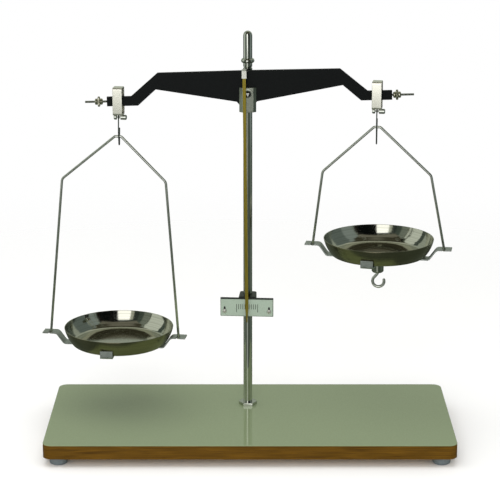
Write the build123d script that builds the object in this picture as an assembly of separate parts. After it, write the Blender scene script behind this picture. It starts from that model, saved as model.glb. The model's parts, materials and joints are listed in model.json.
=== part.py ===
"""Hydrostatic balance: an equal-arm balance on a board, with a hook under the right dish.

Millimetres, +Z up, front towards -Y. The origin lies on the table under the middle of the
board's depth, in line with the column. The pose is the one in which the balance stands at
rest: the beam is a little down on the left and the dishes hang turned a few degrees.
"""
import os
from math import asin, cos, radians, sin, tan

from build123d import *

# Board and feet
BOARD_LENGTH = 450.0
BOARD_DEPTH = 200.0
BOARD_THICKNESS = 16.0
BOARD_SHIFT = 2.5
BOARD_CORNER = 10.0
LAMINATE_THICKNESS = 0.8
BAND_THICKNESS = 0.9
FOOT_HEIGHT = 9.5
FOOT_DIAMETER = 21.0
FOOT_BASE_DIAMETER = 18.5
FOOT_INSET = 16.0
FOOT_RECESS_DIAMETER = 10.0
FOOT_RECESS_DEPTH = 5.5
FOOT_SCREW_DIAMETER = 3.6
FOOT_SCREW_BITE = 11.0
FOOT_SCREW_HEAD_DIAMETER = 7.6
FOOT_SCREW_HEAD_HEIGHT = 2.4
FOOT_LIP_HEIGHT = 1.2
FOOT_LIP_FLARE = 0.4
FOOT_LIP_CHAMFER = 0.6

# Column, its nuts and the knob on top
COLUMN_DIAMETER = 10.0
COLUMN_BACK = 33.0
COLUMN_ABOVE_PIVOT = 28.5
COLUMN_TAIL = 6.9
COLUMN_END_CHAMFER = 0.8
UPPER_NUT_ACROSS = 18.0
UPPER_NUT_HEIGHT = 3.4
LOWER_NUT_ACROSS = 17.0
LOWER_NUT_HEIGHT = 5.0
NUT_CORNER_HEIGHT = 0.5
NUT_CORNER_DEPTH = 0.9
WASHER_DIAMETER = 22.0
WASHER_THICKNESS = 1.2
KNOB_STUD_DIAMETER = 6.0
KNOB_STUD_LENGTH = 12.0
KNOB_DIAMETER = 9.9
KNOB_HEIGHT = 41.0
KNOB_BEAD_DIAMETER = 14.7
KNOB_BEAD_HEIGHT = 5.2
KNOB_BEAD_RISE = 5.6
KNOB_NECK_GROOVE = 1.0
KNOB_NECK_DEPTH = 0.7

# Centre knife edge, its rings and the bearing block
PIVOT_HEIGHT = 386.2
BEAM_BACK = 22.3
RING_OUTER_DIAMETER = 8.0
RING_BORE_DIAMETER = 5.6
EDGE_CLEARANCE = 0.03
KNIFE_WIDTH = 3.0
KNIFE_FLANK_ANGLE = 30.0
CENTRE_KNIFE_HEIGHT = 4.0
KNIFE_END_CLEARANCE = 0.35
BLOCK_WIDTH = 18.5
BLOCK_RISE = 9.6
BLOCK_DROP = 17.5
BLOCK_FRONT_LEG = 4.5
BLOCK_BEVEL = 3.2
BLOCK_BACK_WALL = 3.2
BLOCK_SIDE_CLEARANCE = 0.75
BLOCK_PANEL_WIDTH = 12.2
BLOCK_PANEL_RELIEF = 0.9
BLOCK_REAR_CORNER = 5.0
BLOCK_SCREW_DIAMETER = 4.0
BLOCK_SCREW_HEAD_DIAMETER = 7.0
BLOCK_SCREW_HEAD_HEIGHT = 3.0
BLOCK_SCREW_SLOT = 0.9

# Beam: half outline, and how far the wings and the lug lie beside the centre knife edge
BEAM_THICKNESS = 5.0
BEAM_TILT = 1.35
BEAM_STOP_ANGLE = 8.5
ARM = 141.5
STUB_OVERHANG = 14.3
WING_SHIFT = 1.8
LUG_SHIFT = -1.0
STUB_TOP = 2.0
STUB_DEPTH = 10.1
SHOULDER_INNER = 99.5
SHOULDER_OUTER = 129.3
BEAM_TOP = 27.2
BEAM_CROWN = 0.5
WAIST_INNER = 102.0
WAIST_OUTER = 121.8
WAIST_RISE = 9.3
LUG_HALF_WIDTH = 11.1
LUG_EDGE = -6.4
LUG_DROP = 9.5
LUG_CHAMFER = 2.5

# End knife edges
END_KNIFE_DROP = 3.5
END_KNIFE_HEIGHT = 3.6
END_KNIFE_REACH = 2.2

# Balance screws and nuts
SCREW_DIAMETER = 2.5
SCREW_LENGTH = 24.0
SCREW_BITE = 7.0
NUT_DISC_DIAMETER = 11.2
NUT_DISC_WIDTH = 2.4
NUT_HUB_DIAMETER = 7.0
NUT_LENGTH = 8.5
NUT_FACE_INSET = 1.2
NUT_DOME_INSET = 0.35
NUT_DOME_START = 0.5
NUT_DOME_HEIGHT = 1.4
NUT_ROOT_DEPTH = 0.5
NUT_RUNNING_CLEARANCE = 0.05
LEFT_NUT_GAP = 4.6
RIGHT_NUT_GAP = 1.2

# Pointer
POINTER_WIDTH = 3.6
POINTER_THICKNESS = 1.0
POINTER_LENGTH = 277.0
POINTER_TIP_LENGTH = 17.0
POINTER_TIP_WIDTH = 1.0
POINTER_TRIM_ANGLE = 0.75
POINTER_OFFSET = -3.4
POINTER_FRONT_GAP = 1.2
POINTER_BRACKET_WIDTH = 5.2
POINTER_BRACKET_HEIGHT = 7.2
POINTER_BRACKET_LIP = 1.0
POINTER_BRACKET_FRONT = 1.0
POINTER_SCREW_DIAMETER = 2.0
POINTER_SCREW_HEAD_DIAMETER = 4.0
POINTER_SCREW_HEAD_HEIGHT = 1.4
POINTER_SCREW_BITE = 2.5

# Stirrup, its bearings and the crossbar under it
STIRRUP_WIDTH = 10.5
STIRRUP_DEPTH = 14.0
STIRRUP_STRIP = 1.6
STIRRUP_CORNER = 2.6
STIRRUP_RISE = 16.2
STIRRUP_FALL = 14.7
BEARING_THICKNESS = 1.6
BEARING_WIDTH = 7.6
BEARING_HEIGHT = 5.0
BEARING_FLAT_WIDTH = 2.2
BEARING_GROOVE_WIDTH = 5.6
BEARING_GROOVE_ANGLE = 20.0
CROSSBAR_DIAMETER = 5.7
CROSSBAR_LENGTH = 14.0
CROSSBAR_FLAT = 0.25
CROSSBAR_CHAMFER = 0.7
CROSSBAR_NECK_DIAMETER = 1.8
CROSSBAR_NECK_WIDTH = 3.6

# S-hooks of round wire
HOOK_WIRE = 1.4
HOOK_EYE_CLEARANCE = 0.15
HOOK_EYE_OPENING_ANGLE = 55.0
HOOK_TIP_RADIUS = 0.45
HOOK_KNEE_ABOVE_SEAT = 5.6
HOOK_TAIL_ABOVE_SEAT = 8.6
HOOK_STRAIGHT = 3.6
HOOK_BEND = 3.0
HOOK_SEAT_CLEARANCE = 0.08
LEFT_HOOK_LENGTH = 31.5
LEFT_SEAT_DROP = 21.5
RIGHT_HOOK_LENGTH = 37.2
RIGHT_SEAT_DROP = 17.7

# Bails of round wire
BAIL_WIRE = 2.8
BAIL_APEX_WIDTH = 7.0
BAIL_APEX_BEND = 3.2
BAIL_SHOULDER_BEND = 7.0
BAIL_FOOT_HALF = 73.5
BAIL_HEAD_DIAMETER = 4.8
BAIL_HEAD_HEIGHT = 1.3
BAIL_HEAD_GAP = 0.3
BAIL_HEAD_DRAFT = 0.2
BAIL_HEAD_ROUND = 0.8
LEFT_BAIL_DROP = 228.2
LEFT_SHOULDER_DROP = 49.8
LEFT_SHOULDER_HALF = 58.5
LEFT_APEX_SHIFT = -1.2
LEFT_SHOULDER_SHIFT = -7.0
LEFT_FOOT_SHIFT = -9.5
RIGHT_BAIL_DROP = 135.2
RIGHT_SHOULDER_DROP = 52.3
RIGHT_SHOULDER_HALF = 60.2
RIGHT_APEX_SHIFT = 0.6
RIGHT_SHOULDER_SHIFT = 0.8
RIGHT_FOOT_SHIFT = 3.9
LEFT_TURN = 8.0
RIGHT_TURN = 10.0

# Carriers, their cross arms and the dishes
STRAP_WIDTH = 14.0
STRAP_THICKNESS = 1.5
CARRIER_HALF = 82.0
CARRIER_TAB_START = 66.0
CARRIER_FOOT_START = 57.5
CARRIER_RISE = 11.7
CARRIER_BEND = 4.5
TAB_SLOT_CLEARANCE = 0.3
CROSS_ARM_GAP = 5.2
CROSS_ARM_RISE = 9.2
CROSS_ARM_BEND = 2.4
LEFT_ARM_SKEW_ANGLE = -2.8
RIGHT_ARM_SKEW_ANGLE = 6.0
RIVET_DIAMETER = 4.0
RIVET_HEAD_DIAMETER = 6.4
RIVET_HEAD_HEIGHT = 0.5
RIVET_LOWER_HEAD_DIAMETER = 9.4
RIVET_LOWER_HEAD_HEIGHT = 2.0
RIVET_BOSS_REACH = 5.0
DISH_RIM_RADIUS = 61.4
DISH_FOOT_RADIUS = 52.0
DISH_DEPTH = 18.5
DISH_WALL = 0.8
DISH_CORNER = 5.0
DISH_STEP_RADIUS = 43.0
DISH_STEP_WIDTH = 1.5
DISH_STEP_HEIGHT = 0.8
LEFT_DISH_SHIFT = 5.2
RIGHT_DISH_SHIFT = 0.5

# Hook under the right dish
BOSS_DIAMETER = 13.5
BOSS_HEIGHT = 17.6
BOSS_CHAMFER = 1.5
BOSS_FLOOR = 4.0
BOSS_ROOM_DIAMETER = 8.2
BOSS_ROOM_HEIGHT = 7.6
BODY_HOOK_WIRE = 3.3
BODY_HOOK_RADIUS = 6.45
BODY_HOOK_SHIFT = 1.0
BODY_HOOK_DROP = 10.4
BODY_HOOK_START_ANGLE = 140.0
BODY_HOOK_END_ANGLE = 375.0
BODY_HOOK_BEND = 4.5
BODY_HOOK_HEAD_DIAMETER = 6.4
BODY_HOOK_HEAD_HEIGHT = 1.8
SWIVEL_CLEARANCE = 0.05

# Scale on the column
SCALE_TURN = 4.0
SCALE_BOTTOM = 135.4
PLATE_WIDTH = 59.5
PLATE_HEIGHT = 19.6
PLATE_THICKNESS = 1.0
PLATE_FRONT = 16.5
PLATE_CORNER = 0.6
BAR_THICKNESS = 2.0
BAR_RISE = 1.6
LOBE_WIDTH = 18.7
LOBE_RISE = 3.6
LOBE_CORNER = 3.2
LOBE_MOUTH = 5.8
LOBE_BACK_WALL = 3.5
SCALE_SCREW_SPACING = 50.0
SCALE_SCREW_HEIGHT = 5.9
SCALE_SCREW_DIAMETER = 2.2
SCALE_SCREW_HEAD_DIAMETER = 4.6
SCALE_SCREW_HEAD_HEIGHT = 1.4
SCALE_SLOT_LENGTH = 6.4
SLIDING_CLEARANCE = 0.05

BOARD_TOP = FOOT_HEIGHT + BOARD_THICKNESS
COLUMN_TOP = PIVOT_HEIGHT + COLUMN_ABOVE_PIVOT
COLUMN_FRONT = COLUMN_BACK - COLUMN_DIAMETER / 2
RING_CENTRE = RING_BORE_DIAMETER / 2 - EDGE_CLEARANCE
BLOCK_SLOT_FRONT = BEAM_BACK - BEAM_THICKNESS / 2 - BLOCK_SIDE_CLEARANCE
BLOCK_SLOT_REAR = BEAM_BACK + BEAM_THICKNESS / 2 + BLOCK_SIDE_CLEARANCE
BLOCK_FRONT = BLOCK_SLOT_FRONT - BLOCK_FRONT_LEG
BLOCK_REAR = COLUMN_BACK + COLUMN_DIAMETER / 2 + BLOCK_BACK_WALL
POINTER_BACK = BLOCK_FRONT - BLOCK_PANEL_RELIEF - POINTER_FRONT_GAP
STUB_MIDDLE = STUB_TOP - STUB_DEPTH / 2
STIRRUP_INNER = STIRRUP_DEPTH / 2 - STIRRUP_STRIP
CROSSBAR_DROP = STIRRUP_FALL + CROSSBAR_DIAMETER / 2 - CROSSBAR_FLAT
DISH_UNDERSIDE_TO_STRAP = 1.5 * STRAP_THICKNESS

nodes = {}


def solid_of_revolution(points, about=Axis.Z, plane=Plane.XZ):
    """Turns a closed outline round an axis."""
    face = make_face(Polyline(*points, close=True))
    return revolve(plane * face, axis=about)


def rod(diameter, length, start=(0, 0, 0), along=(0, 0, 1)):
    """A round bar from a start point along a direction."""
    plane = Plane(origin=start, z_dir=along)
    return extrude(plane * Circle(diameter / 2), length)


def hexagon_nut(across, height, bore, base):
    """A hexagon nut with its top corners turned off, its base at the given height."""
    corner_radius = across / 3 ** 0.5
    body = extrude(Pos(0, 0, base) * RegularPolygon(across / 2, 6, major_radius=False), height)
    turned = solid_of_revolution([
        (0, base), (corner_radius, base), (corner_radius, base + height - NUT_CORNER_HEIGHT),
        (corner_radius - NUT_CORNER_DEPTH, base + height), (0, base + height),
    ])
    return (body & turned) - rod(bore, height, (0, 0, base))


def plate_from_outline(points, thickness):
    """A flat plate in the XZ plane, centred on Y, from a closed outline."""
    face = make_face(Polyline(*points, close=True))
    return extrude(Plane.XZ * face, thickness / 2, both=True)


def strip_along(line, width, thickness, across):
    """A bent strip: the line lies in a plane, and the strip is as wide as stated across it."""
    ribbon = offset(line, amount=thickness, side=Side.LEFT, closed=True)
    return extrude(across * make_face(ribbon), width / 2, both=True)


def wire_along(path, diameter, start, direction):
    """Round wire swept along a path of lines and arcs."""
    plane = Plane(origin=start, z_dir=direction)
    return sweep(plane * Circle(diameter / 2), path=path)


def base():
    """The board with its laminate, edge band, feet and foot screws."""
    centre = Pos(BOARD_SHIFT, 0, 0)
    core_height = BOARD_THICKNESS - LAMINATE_THICKNESS
    column_hole = rod(COLUMN_DIAMETER, BOARD_THICKNESS, (0, COLUMN_BACK, FOOT_HEIGHT))
    core_outline = RectangleRounded(
        BOARD_LENGTH - 2 * BAND_THICKNESS, BOARD_DEPTH - 2 * BAND_THICKNESS,
        BOARD_CORNER - BAND_THICKNESS,
    )
    full_outline = RectangleRounded(BOARD_LENGTH, BOARD_DEPTH, BOARD_CORNER)
    core = centre * Pos(0, 0, FOOT_HEIGHT) * extrude(core_outline, core_height)
    band = centre * Pos(0, 0, FOOT_HEIGHT) * extrude(full_outline - core_outline, core_height)
    sheet = centre * Pos(0, 0, FOOT_HEIGHT + core_height) * extrude(
        full_outline, LAMINATE_THICKNESS
    )
    sheet = chamfer(sheet.edges().group_by(Axis.Z)[-1], LAMINATE_THICKNESS / 2)
    foot_x = BOARD_LENGTH / 2 - FOOT_INSET
    foot_y = BOARD_DEPTH / 2 - FOOT_INSET
    foot = solid_of_revolution([
        (FOOT_SCREW_DIAMETER / 2, FOOT_HEIGHT),
        (FOOT_DIAMETER / 2, FOOT_HEIGHT),
        (FOOT_BASE_DIAMETER / 2 + FOOT_LIP_FLARE, FOOT_LIP_HEIGHT),
        (FOOT_BASE_DIAMETER / 2 - FOOT_LIP_CHAMFER, 0),
        (FOOT_RECESS_DIAMETER / 2, 0),
        (FOOT_RECESS_DIAMETER / 2, FOOT_RECESS_DEPTH),
        (FOOT_SCREW_DIAMETER / 2, FOOT_RECESS_DEPTH),
    ])
    head = solid_of_revolution([
        (0, FOOT_RECESS_DEPTH),
        (FOOT_SCREW_HEAD_DIAMETER / 2, FOOT_RECESS_DEPTH),
        (FOOT_SCREW_HEAD_DIAMETER / 2, FOOT_RECESS_DEPTH - FOOT_SCREW_HEAD_HEIGHT / 2),
        (FOOT_SCREW_HEAD_DIAMETER / 4, FOOT_RECESS_DEPTH - FOOT_SCREW_HEAD_HEIGHT),
        (0, FOOT_RECESS_DEPTH - FOOT_SCREW_HEAD_HEIGHT),
    ])
    shank_length = FOOT_HEIGHT - FOOT_RECESS_DEPTH + FOOT_SCREW_BITE
    screw = head + rod(FOOT_SCREW_DIAMETER, shank_length, (0, 0, FOOT_RECESS_DEPTH))
    screws = []
    for side, x in (("left", -foot_x), ("right", foot_x)):
        for end, y in (("front", -foot_y), ("rear", foot_y)):
            place = centre * Pos(x, y, 0)
            nodes[f"foot_{end}_{side}"] = place * foot
            screws.append(place * screw)
    for screw in screws:
        core = core - screw
    nodes["base_board"] = core - column_hole
    nodes["edge_band"] = band
    nodes["base_laminate"] = sheet - column_hole
    nodes["foot_screws"] = Compound(children=screws)


def column():
    """The column with its nuts and washer, and the domed knob screwed on its top."""
    centre = Pos(0, COLUMN_BACK, 0)
    bottom = FOOT_HEIGHT - COLUMN_TAIL
    rod_body = rod(COLUMN_DIAMETER, COLUMN_TOP - bottom, (0, 0, bottom))
    rod_body = chamfer(rod_body.edges().group_by(Axis.Z)[0], COLUMN_END_CHAMFER)
    stud = rod(KNOB_STUD_DIAMETER, KNOB_STUD_LENGTH, (0, 0, COLUMN_TOP))
    nodes["column"] = centre * (rod_body + stud)
    nodes["column_nut_upper"] = centre * hexagon_nut(
        UPPER_NUT_ACROSS, UPPER_NUT_HEIGHT, COLUMN_DIAMETER, BOARD_TOP
    )
    washer_base = FOOT_HEIGHT - WASHER_THICKNESS
    washer = rod(WASHER_DIAMETER, WASHER_THICKNESS, (0, 0, washer_base))
    nodes["column_washer"] = centre * (
        washer - rod(COLUMN_DIAMETER, WASHER_THICKNESS, (0, 0, washer_base))
    )
    nodes["column_nut_lower"] = centre * hexagon_nut(
        LOWER_NUT_ACROSS, LOWER_NUT_HEIGHT, COLUMN_DIAMETER, washer_base - LOWER_NUT_HEIGHT
    )
    radius = KNOB_DIAMETER / 2
    neck = radius - KNOB_NECK_DEPTH
    bead = KNOB_BEAD_DIAMETER / 2
    bead_low = KNOB_BEAD_RISE
    bead_high = bead_low + KNOB_BEAD_HEIGHT
    with BuildSketch(Plane.XZ) as profile:
        with BuildLine():
            Line((0, 0), (neck, 0))
            Line((neck, 0), (neck, KNOB_NECK_GROOVE))
            Line((neck, KNOB_NECK_GROOVE), (radius, KNOB_NECK_GROOVE + KNOB_NECK_DEPTH))
            Line((radius, KNOB_NECK_GROOVE + KNOB_NECK_DEPTH), (radius, bead_low))
            Line((radius, bead_low), (bead - bead_high / 2 + bead_low / 2, bead_low))
            ThreePointArc(
                (bead - bead_high / 2 + bead_low / 2, bead_low),
                (bead, (bead_low + bead_high) / 2),
                (bead - bead_high / 2 + bead_low / 2, bead_high),
            )
            Line((bead - bead_high / 2 + bead_low / 2, bead_high), (radius, bead_high))
            Line((radius, bead_high), (radius, KNOB_HEIGHT - radius))
            ThreePointArc(
                (radius, KNOB_HEIGHT - radius),
                (radius * sin(radians(45)), KNOB_HEIGHT - radius + radius * cos(radians(45))),
                (0, KNOB_HEIGHT),
            )
            Line((0, KNOB_HEIGHT), (0, 0))
        make_face()
    knob = revolve(profile.sketch, axis=Axis.Z)
    knob = knob - rod(KNOB_STUD_DIAMETER, KNOB_STUD_LENGTH)
    nodes["column_knob"] = centre * Pos(0, 0, COLUMN_TOP) * knob


def centre_bearing():
    """The fork block on the column, the rings that carry the knife edge and the clamp screw."""
    top = PIVOT_HEIGHT + BLOCK_RISE
    bottom = PIVOT_HEIGHT - BLOCK_DROP
    height = top - bottom
    ring_z = PIVOT_HEIGHT + RING_CENTRE
    half = BLOCK_WIDTH / 2
    outline = make_face(Polyline(
        (-half + BLOCK_BEVEL, BLOCK_FRONT), (half - BLOCK_BEVEL, BLOCK_FRONT),
        (half, BLOCK_FRONT + BLOCK_BEVEL), (half, BLOCK_REAR - BLOCK_REAR_CORNER),
        (half - BLOCK_REAR_CORNER, BLOCK_REAR), (-half + BLOCK_REAR_CORNER, BLOCK_REAR),
        (-half, BLOCK_REAR - BLOCK_REAR_CORNER), (-half, BLOCK_FRONT + BLOCK_BEVEL),
        close=True,
    ))
    block = Pos(0, 0, bottom) * extrude(outline, height)
    panel_radius = BLOCK_PANEL_WIDTH / 2
    panel_low = bottom + BLOCK_PANEL_RELIEF
    panel_face = Pos(0, (panel_low + ring_z) / 2) * Rectangle(
        BLOCK_PANEL_WIDTH, ring_z - panel_low
    ) + Pos(0, ring_z) * Circle(panel_radius)
    front_plane = Plane(origin=(0, BLOCK_FRONT, 0), x_dir=(1, 0, 0), z_dir=(0, -1, 0))
    block = block + extrude(front_plane * panel_face, BLOCK_PANEL_RELIEF)
    lug_reach = LUG_DROP * cos(radians(BEAM_STOP_ANGLE))
    lug_end = LUG_HALF_WIDTH - LUG_CHAMFER + abs(LUG_SHIFT)
    lug_swing = lug_end * sin(radians(BEAM_STOP_ANGLE))
    slot_floor = PIVOT_HEIGHT - lug_reach - lug_swing
    slot_depth = BLOCK_SLOT_REAR - BLOCK_SLOT_FRONT
    slot = Pos(0, BEAM_BACK, (slot_floor + top) / 2) * Box(
        2 * BLOCK_WIDTH, slot_depth, top - slot_floor
    )
    ring_front_start = BLOCK_FRONT - BLOCK_PANEL_RELIEF
    ring_bore = rod(RING_OUTER_DIAMETER, COLUMN_BACK, (0, ring_front_start, ring_z), (0, 1, 0))
    column_bore = rod(COLUMN_DIAMETER, height, (0, COLUMN_BACK, bottom))
    screw_z = (top + bottom) / 2
    screw_bore = rod(BLOCK_SCREW_DIAMETER, BLOCK_REAR, (0, COLUMN_BACK, screw_z), (0, 1, 0))
    block = block - slot - ring_bore - column_bore - screw_bore
    for name, start, stop in (
        ("front", ring_front_start, BLOCK_SLOT_FRONT), ("rear", BLOCK_SLOT_REAR, COLUMN_FRONT),
    ):
        place = (0, start, ring_z)
        ring = rod(RING_OUTER_DIAMETER, stop - start, place, (0, 1, 0))
        nodes[f"bearing_ring_{name}"] = ring - rod(
            RING_BORE_DIAMETER, stop - start, place, (0, 1, 0)
        ) - column_bore
    nodes["bearing_block"] = block
    tip = COLUMN_BACK + COLUMN_DIAMETER / 2
    shank = rod(BLOCK_SCREW_DIAMETER, BLOCK_REAR - tip, (0, tip, screw_z), (0, 1, 0))
    head = rod(
        BLOCK_SCREW_HEAD_DIAMETER, BLOCK_SCREW_HEAD_HEIGHT, (0, BLOCK_REAR, screw_z), (0, 1, 0)
    )
    slot_y = BLOCK_REAR + BLOCK_SCREW_HEAD_HEIGHT
    driver_slot = Pos(0, slot_y, screw_z) * Box(
        2 * BLOCK_SCREW_HEAD_DIAMETER, BLOCK_SCREW_HEAD_HEIGHT, BLOCK_SCREW_SLOT
    )
    nodes["block_screw"] = shank + chamfer(
        head.edges().group_by(Axis.Y)[-1], BLOCK_SCREW_SLOT / 2
    ) - driver_slot - column_bore


def beam_outline():
    """The gull-wing outline: crowned top, stubs at both ends, a lug at the middle."""
    stub_end = ARM + STUB_OVERHANG
    lug = [(LUG_HALF_WIDTH - LUG_CHAMFER, -LUG_DROP), (LUG_HALF_WIDTH, LUG_EDGE)]
    wing = [
        (WAIST_INNER, WAIST_RISE), (WAIST_OUTER, STUB_TOP - STUB_DEPTH),
        (stub_end, STUB_TOP - STUB_DEPTH), (stub_end, STUB_TOP),
        (SHOULDER_OUTER, STUB_TOP), (SHOULDER_INNER, BEAM_TOP),
    ]
    right = [(x + LUG_SHIFT, z) for x, z in lug] + [(x + WING_SHIFT, z) for x, z in wing]
    left = [(-x + LUG_SHIFT, z) for x, z in lug] + [(-x + WING_SHIFT, z) for x, z in wing]
    return right + [(0, BEAM_TOP + BEAM_CROWN)] + left[::-1]


def knife_section(height):
    """A knife edge pointing down at the origin: two ground flanks under a square back."""
    half = KNIFE_WIDTH / 2
    flank = half / tan(radians(KNIFE_FLANK_ANGLE))
    return [(0, 0), (half, flank), (half, height), (-half, height), (-half, flank)]


def beam():
    """The beam with its three knife edges, balance screws and nuts, and the pointer."""
    place = Pos(0, BEAM_BACK, PIVOT_HEIGHT) * Rot(0, -BEAM_TILT, 0)
    plate = plate_from_outline(beam_outline(), BEAM_THICKNESS)
    edge_start = BLOCK_FRONT - BLOCK_PANEL_RELIEF + KNIFE_END_CLEARANCE - BEAM_BACK
    edge_stop = COLUMN_FRONT - KNIFE_END_CLEARANCE - BEAM_BACK
    section = make_face(Polyline(*knife_section(CENTRE_KNIFE_HEIGHT), close=True))
    start_plane = Plane(origin=(0, edge_stop, 0), x_dir=(1, 0, 0), z_dir=(0, -1, 0))
    centre_knife = extrude(start_plane * section, edge_stop - edge_start)
    plate = plate - centre_knife
    end_reach = BEAM_THICKNESS / 2 + END_KNIFE_REACH
    end_section = Rot(0, 0, 180) * make_face(
        Polyline(*knife_section(END_KNIFE_HEIGHT), close=True)
    )
    end_plane = Plane(origin=(0, end_reach, 0), x_dir=(1, 0, 0), z_dir=(0, -1, 0))
    end_knife = extrude(end_plane * end_section, 2 * end_reach)
    nodes["centre_knife"] = place * centre_knife
    stub_end = ARM + STUB_OVERHANG
    for name, side, gap in (("left", -1, LEFT_NUT_GAP), ("right", 1, RIGHT_NUT_GAP)):
        knife = Pos(side * ARM, 0, -END_KNIFE_DROP) * end_knife
        screw_start = WING_SHIFT + side * (stub_end - SCREW_BITE)
        screw = rod(
            SCREW_DIAMETER, SCREW_BITE + SCREW_LENGTH, (screw_start, 0, STUB_MIDDLE), (side, 0, 0),
        )
        plate = plate - knife - screw
        nodes[f"{name}_knife"] = place * knife
        nodes[f"{name}_balance_screw"] = place * screw
        nut_start = WING_SHIFT + side * (stub_end + gap)
        nut_place = Pos(nut_start, 0, STUB_MIDDLE) * Rot(0, side * 90, 0)
        nodes[f"{name}_balance_nut"] = place * nut_place * balance_nut()
    bracket, strip, screw, plate = pointer_parts(plate)
    nodes["pointer_bracket"] = place * bracket
    nodes["pointer"] = place * strip
    nodes["pointer_screw"] = place * screw
    nodes["beam"] = place * plate


def balance_nut():
    """A knurled disc between two rounded hubs, its axis along Z and its face at zero."""
    middle = NUT_LENGTH / 2
    half_disc = NUT_DISC_WIDTH / 2
    hub = NUT_HUB_DIAMETER / 2
    disc = NUT_DISC_DIAMETER / 2
    edge = half_disc / 3
    bore = SCREW_DIAMETER / 2 + NUT_RUNNING_CLEARANCE
    lower = [
        (bore, 0), (hub - NUT_FACE_INSET, 0), (hub - NUT_DOME_INSET, NUT_DOME_START),
        (hub, NUT_DOME_HEIGHT), (hub - NUT_ROOT_DEPTH, middle - half_disc),
        (disc - edge, middle - half_disc), (disc, middle - half_disc + edge),
    ]
    upper = [(r, NUT_LENGTH - z) for r, z in reversed(lower)]
    return solid_of_revolution(lower + upper)


def pointer_parts(plate):
    """The bracket hooked over the beam's top edge, the long strip on it and the screw."""
    strip_y = POINTER_BACK - BEAM_BACK - POINTER_THICKNESS / 2
    front = strip_y - POINTER_THICKNESS / 2 - POINTER_BRACKET_FRONT
    beam_front = -BEAM_THICKNESS / 2
    beam_rear = BEAM_THICKNESS / 2
    top = BEAM_TOP + BEAM_CROWN + POINTER_BRACKET_LIP
    low = top - POINTER_BRACKET_LIP - POINTER_BRACKET_HEIGHT
    seat = BEAM_TOP + BEAM_CROWN
    outline = Polyline(
        (front, low), (beam_front, low), (beam_front, seat), (beam_rear, seat),
        (beam_rear, top), (front, top), close=True,
    )
    side_plane = Plane(origin=(POINTER_OFFSET, 0, 0), x_dir=(0, 1, 0), z_dir=(1, 0, 0))
    bracket = extrude(side_plane * make_face(outline), POINTER_BRACKET_WIDTH / 2, both=True)
    half = POINTER_WIDTH / 2
    tip_start = POINTER_LENGTH - POINTER_TIP_LENGTH
    root = POINTER_BRACKET_HEIGHT / 2
    strip = plate_from_outline([
        (-half, root), (half, root), (half, -tip_start), (POINTER_TIP_WIDTH / 2, -POINTER_LENGTH),
        (-POINTER_TIP_WIDTH / 2, -POINTER_LENGTH), (-half, -tip_start),
    ], POINTER_THICKNESS)
    strip = Pos(POINTER_OFFSET, strip_y, low) * Rot(0, POINTER_TRIM_ANGLE, 0) * strip
    bracket = bracket - strip
    screw_z = (low + seat) / 2
    depth = BEAM_THICKNESS + POINTER_SCREW_BITE
    screw = rod(
        POINTER_SCREW_DIAMETER, depth, (POINTER_OFFSET, beam_rear, screw_z), (0, -1, 0)
    )
    head = rod(
        POINTER_SCREW_HEAD_DIAMETER, POINTER_SCREW_HEAD_HEIGHT,
        (POINTER_OFFSET, beam_rear, screw_z), (0, 1, 0),
    )
    head = chamfer(head.edges().group_by(Axis.Y)[-1], POINTER_SCREW_HEAD_HEIGHT / 3)
    return bracket - screw, strip, screw + head, plate - screw


def stirrup_parts():
    """The strip loop round the beam's stub with the bearings inside and the bar under it.

    The origin is the end knife edge. The two bearings rest on it with the flats of their
    grooves, wide enough for the loop to hang turned a few degrees across the edge.
    """
    height = STIRRUP_RISE + STIRRUP_FALL
    middle = (STIRRUP_RISE - STIRRUP_FALL) / 2
    side_plane = Plane(origin=(0, 0, 0), x_dir=(0, 1, 0), z_dir=(1, 0, 0))
    outer = Pos(0, middle) * RectangleRounded(STIRRUP_DEPTH, height, STIRRUP_CORNER)
    inner = Pos(0, middle) * RectangleRounded(
        STIRRUP_DEPTH - 2 * STIRRUP_STRIP, height - 2 * STIRRUP_STRIP,
        STIRRUP_CORNER - STIRRUP_STRIP,
    )
    loop = extrude(side_plane * (outer - inner), STIRRUP_WIDTH / 2, both=True)
    half_groove = BEARING_GROOVE_WIDTH / 2
    half_flat = BEARING_FLAT_WIDTH / 2
    groove_fall = (half_groove - half_flat) * tan(radians(BEARING_GROOVE_ANGLE))
    half = BEARING_WIDTH / 2
    crest = EDGE_CLEARANCE
    section = make_face(Polyline(
        (half_flat, crest), (half_groove, crest - groove_fall), (half, crest - groove_fall),
        (half, crest + BEARING_HEIGHT), (-half, crest + BEARING_HEIGHT),
        (-half, crest - groove_fall), (-half_groove, crest - groove_fall), (-half_flat, crest),
        close=True,
    ))
    bearings = []
    for inner_face in (-STIRRUP_INNER, STIRRUP_INNER - BEARING_THICKNESS):
        plane = Plane(origin=(0, inner_face + BEARING_THICKNESS, 0), x_dir=(1, 0, 0),
                      z_dir=(0, -1, 0))
        bearings.append(extrude(plane * section, BEARING_THICKNESS))
    radius = CROSSBAR_DIAMETER / 2
    neck = CROSSBAR_NECK_DIAMETER / 2
    half_neck = CROSSBAR_NECK_WIDTH / 2
    slope = (radius - neck) / 3
    start = -STIRRUP_WIDTH / 2
    stop = start + CROSSBAR_LENGTH
    bar = solid_of_revolution([
        (start, 0), (start, radius - CROSSBAR_CHAMFER), (start + CROSSBAR_CHAMFER, radius),
        (-half_neck - slope, radius), (-half_neck, neck), (half_neck, neck),
        (half_neck + slope, radius), (stop - CROSSBAR_CHAMFER, radius),
        (stop, radius - CROSSBAR_CHAMFER), (stop, 0),
    ], about=Axis.X)
    bar = bar - Pos(0, 0, radius - CROSSBAR_FLAT / 2) * Box(
        4 * CROSSBAR_LENGTH, CROSSBAR_DIAMETER, CROSSBAR_FLAT
    )
    return loop, Compound(children=bearings), Pos(0, 0, -CROSSBAR_DROP) * bar


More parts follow.
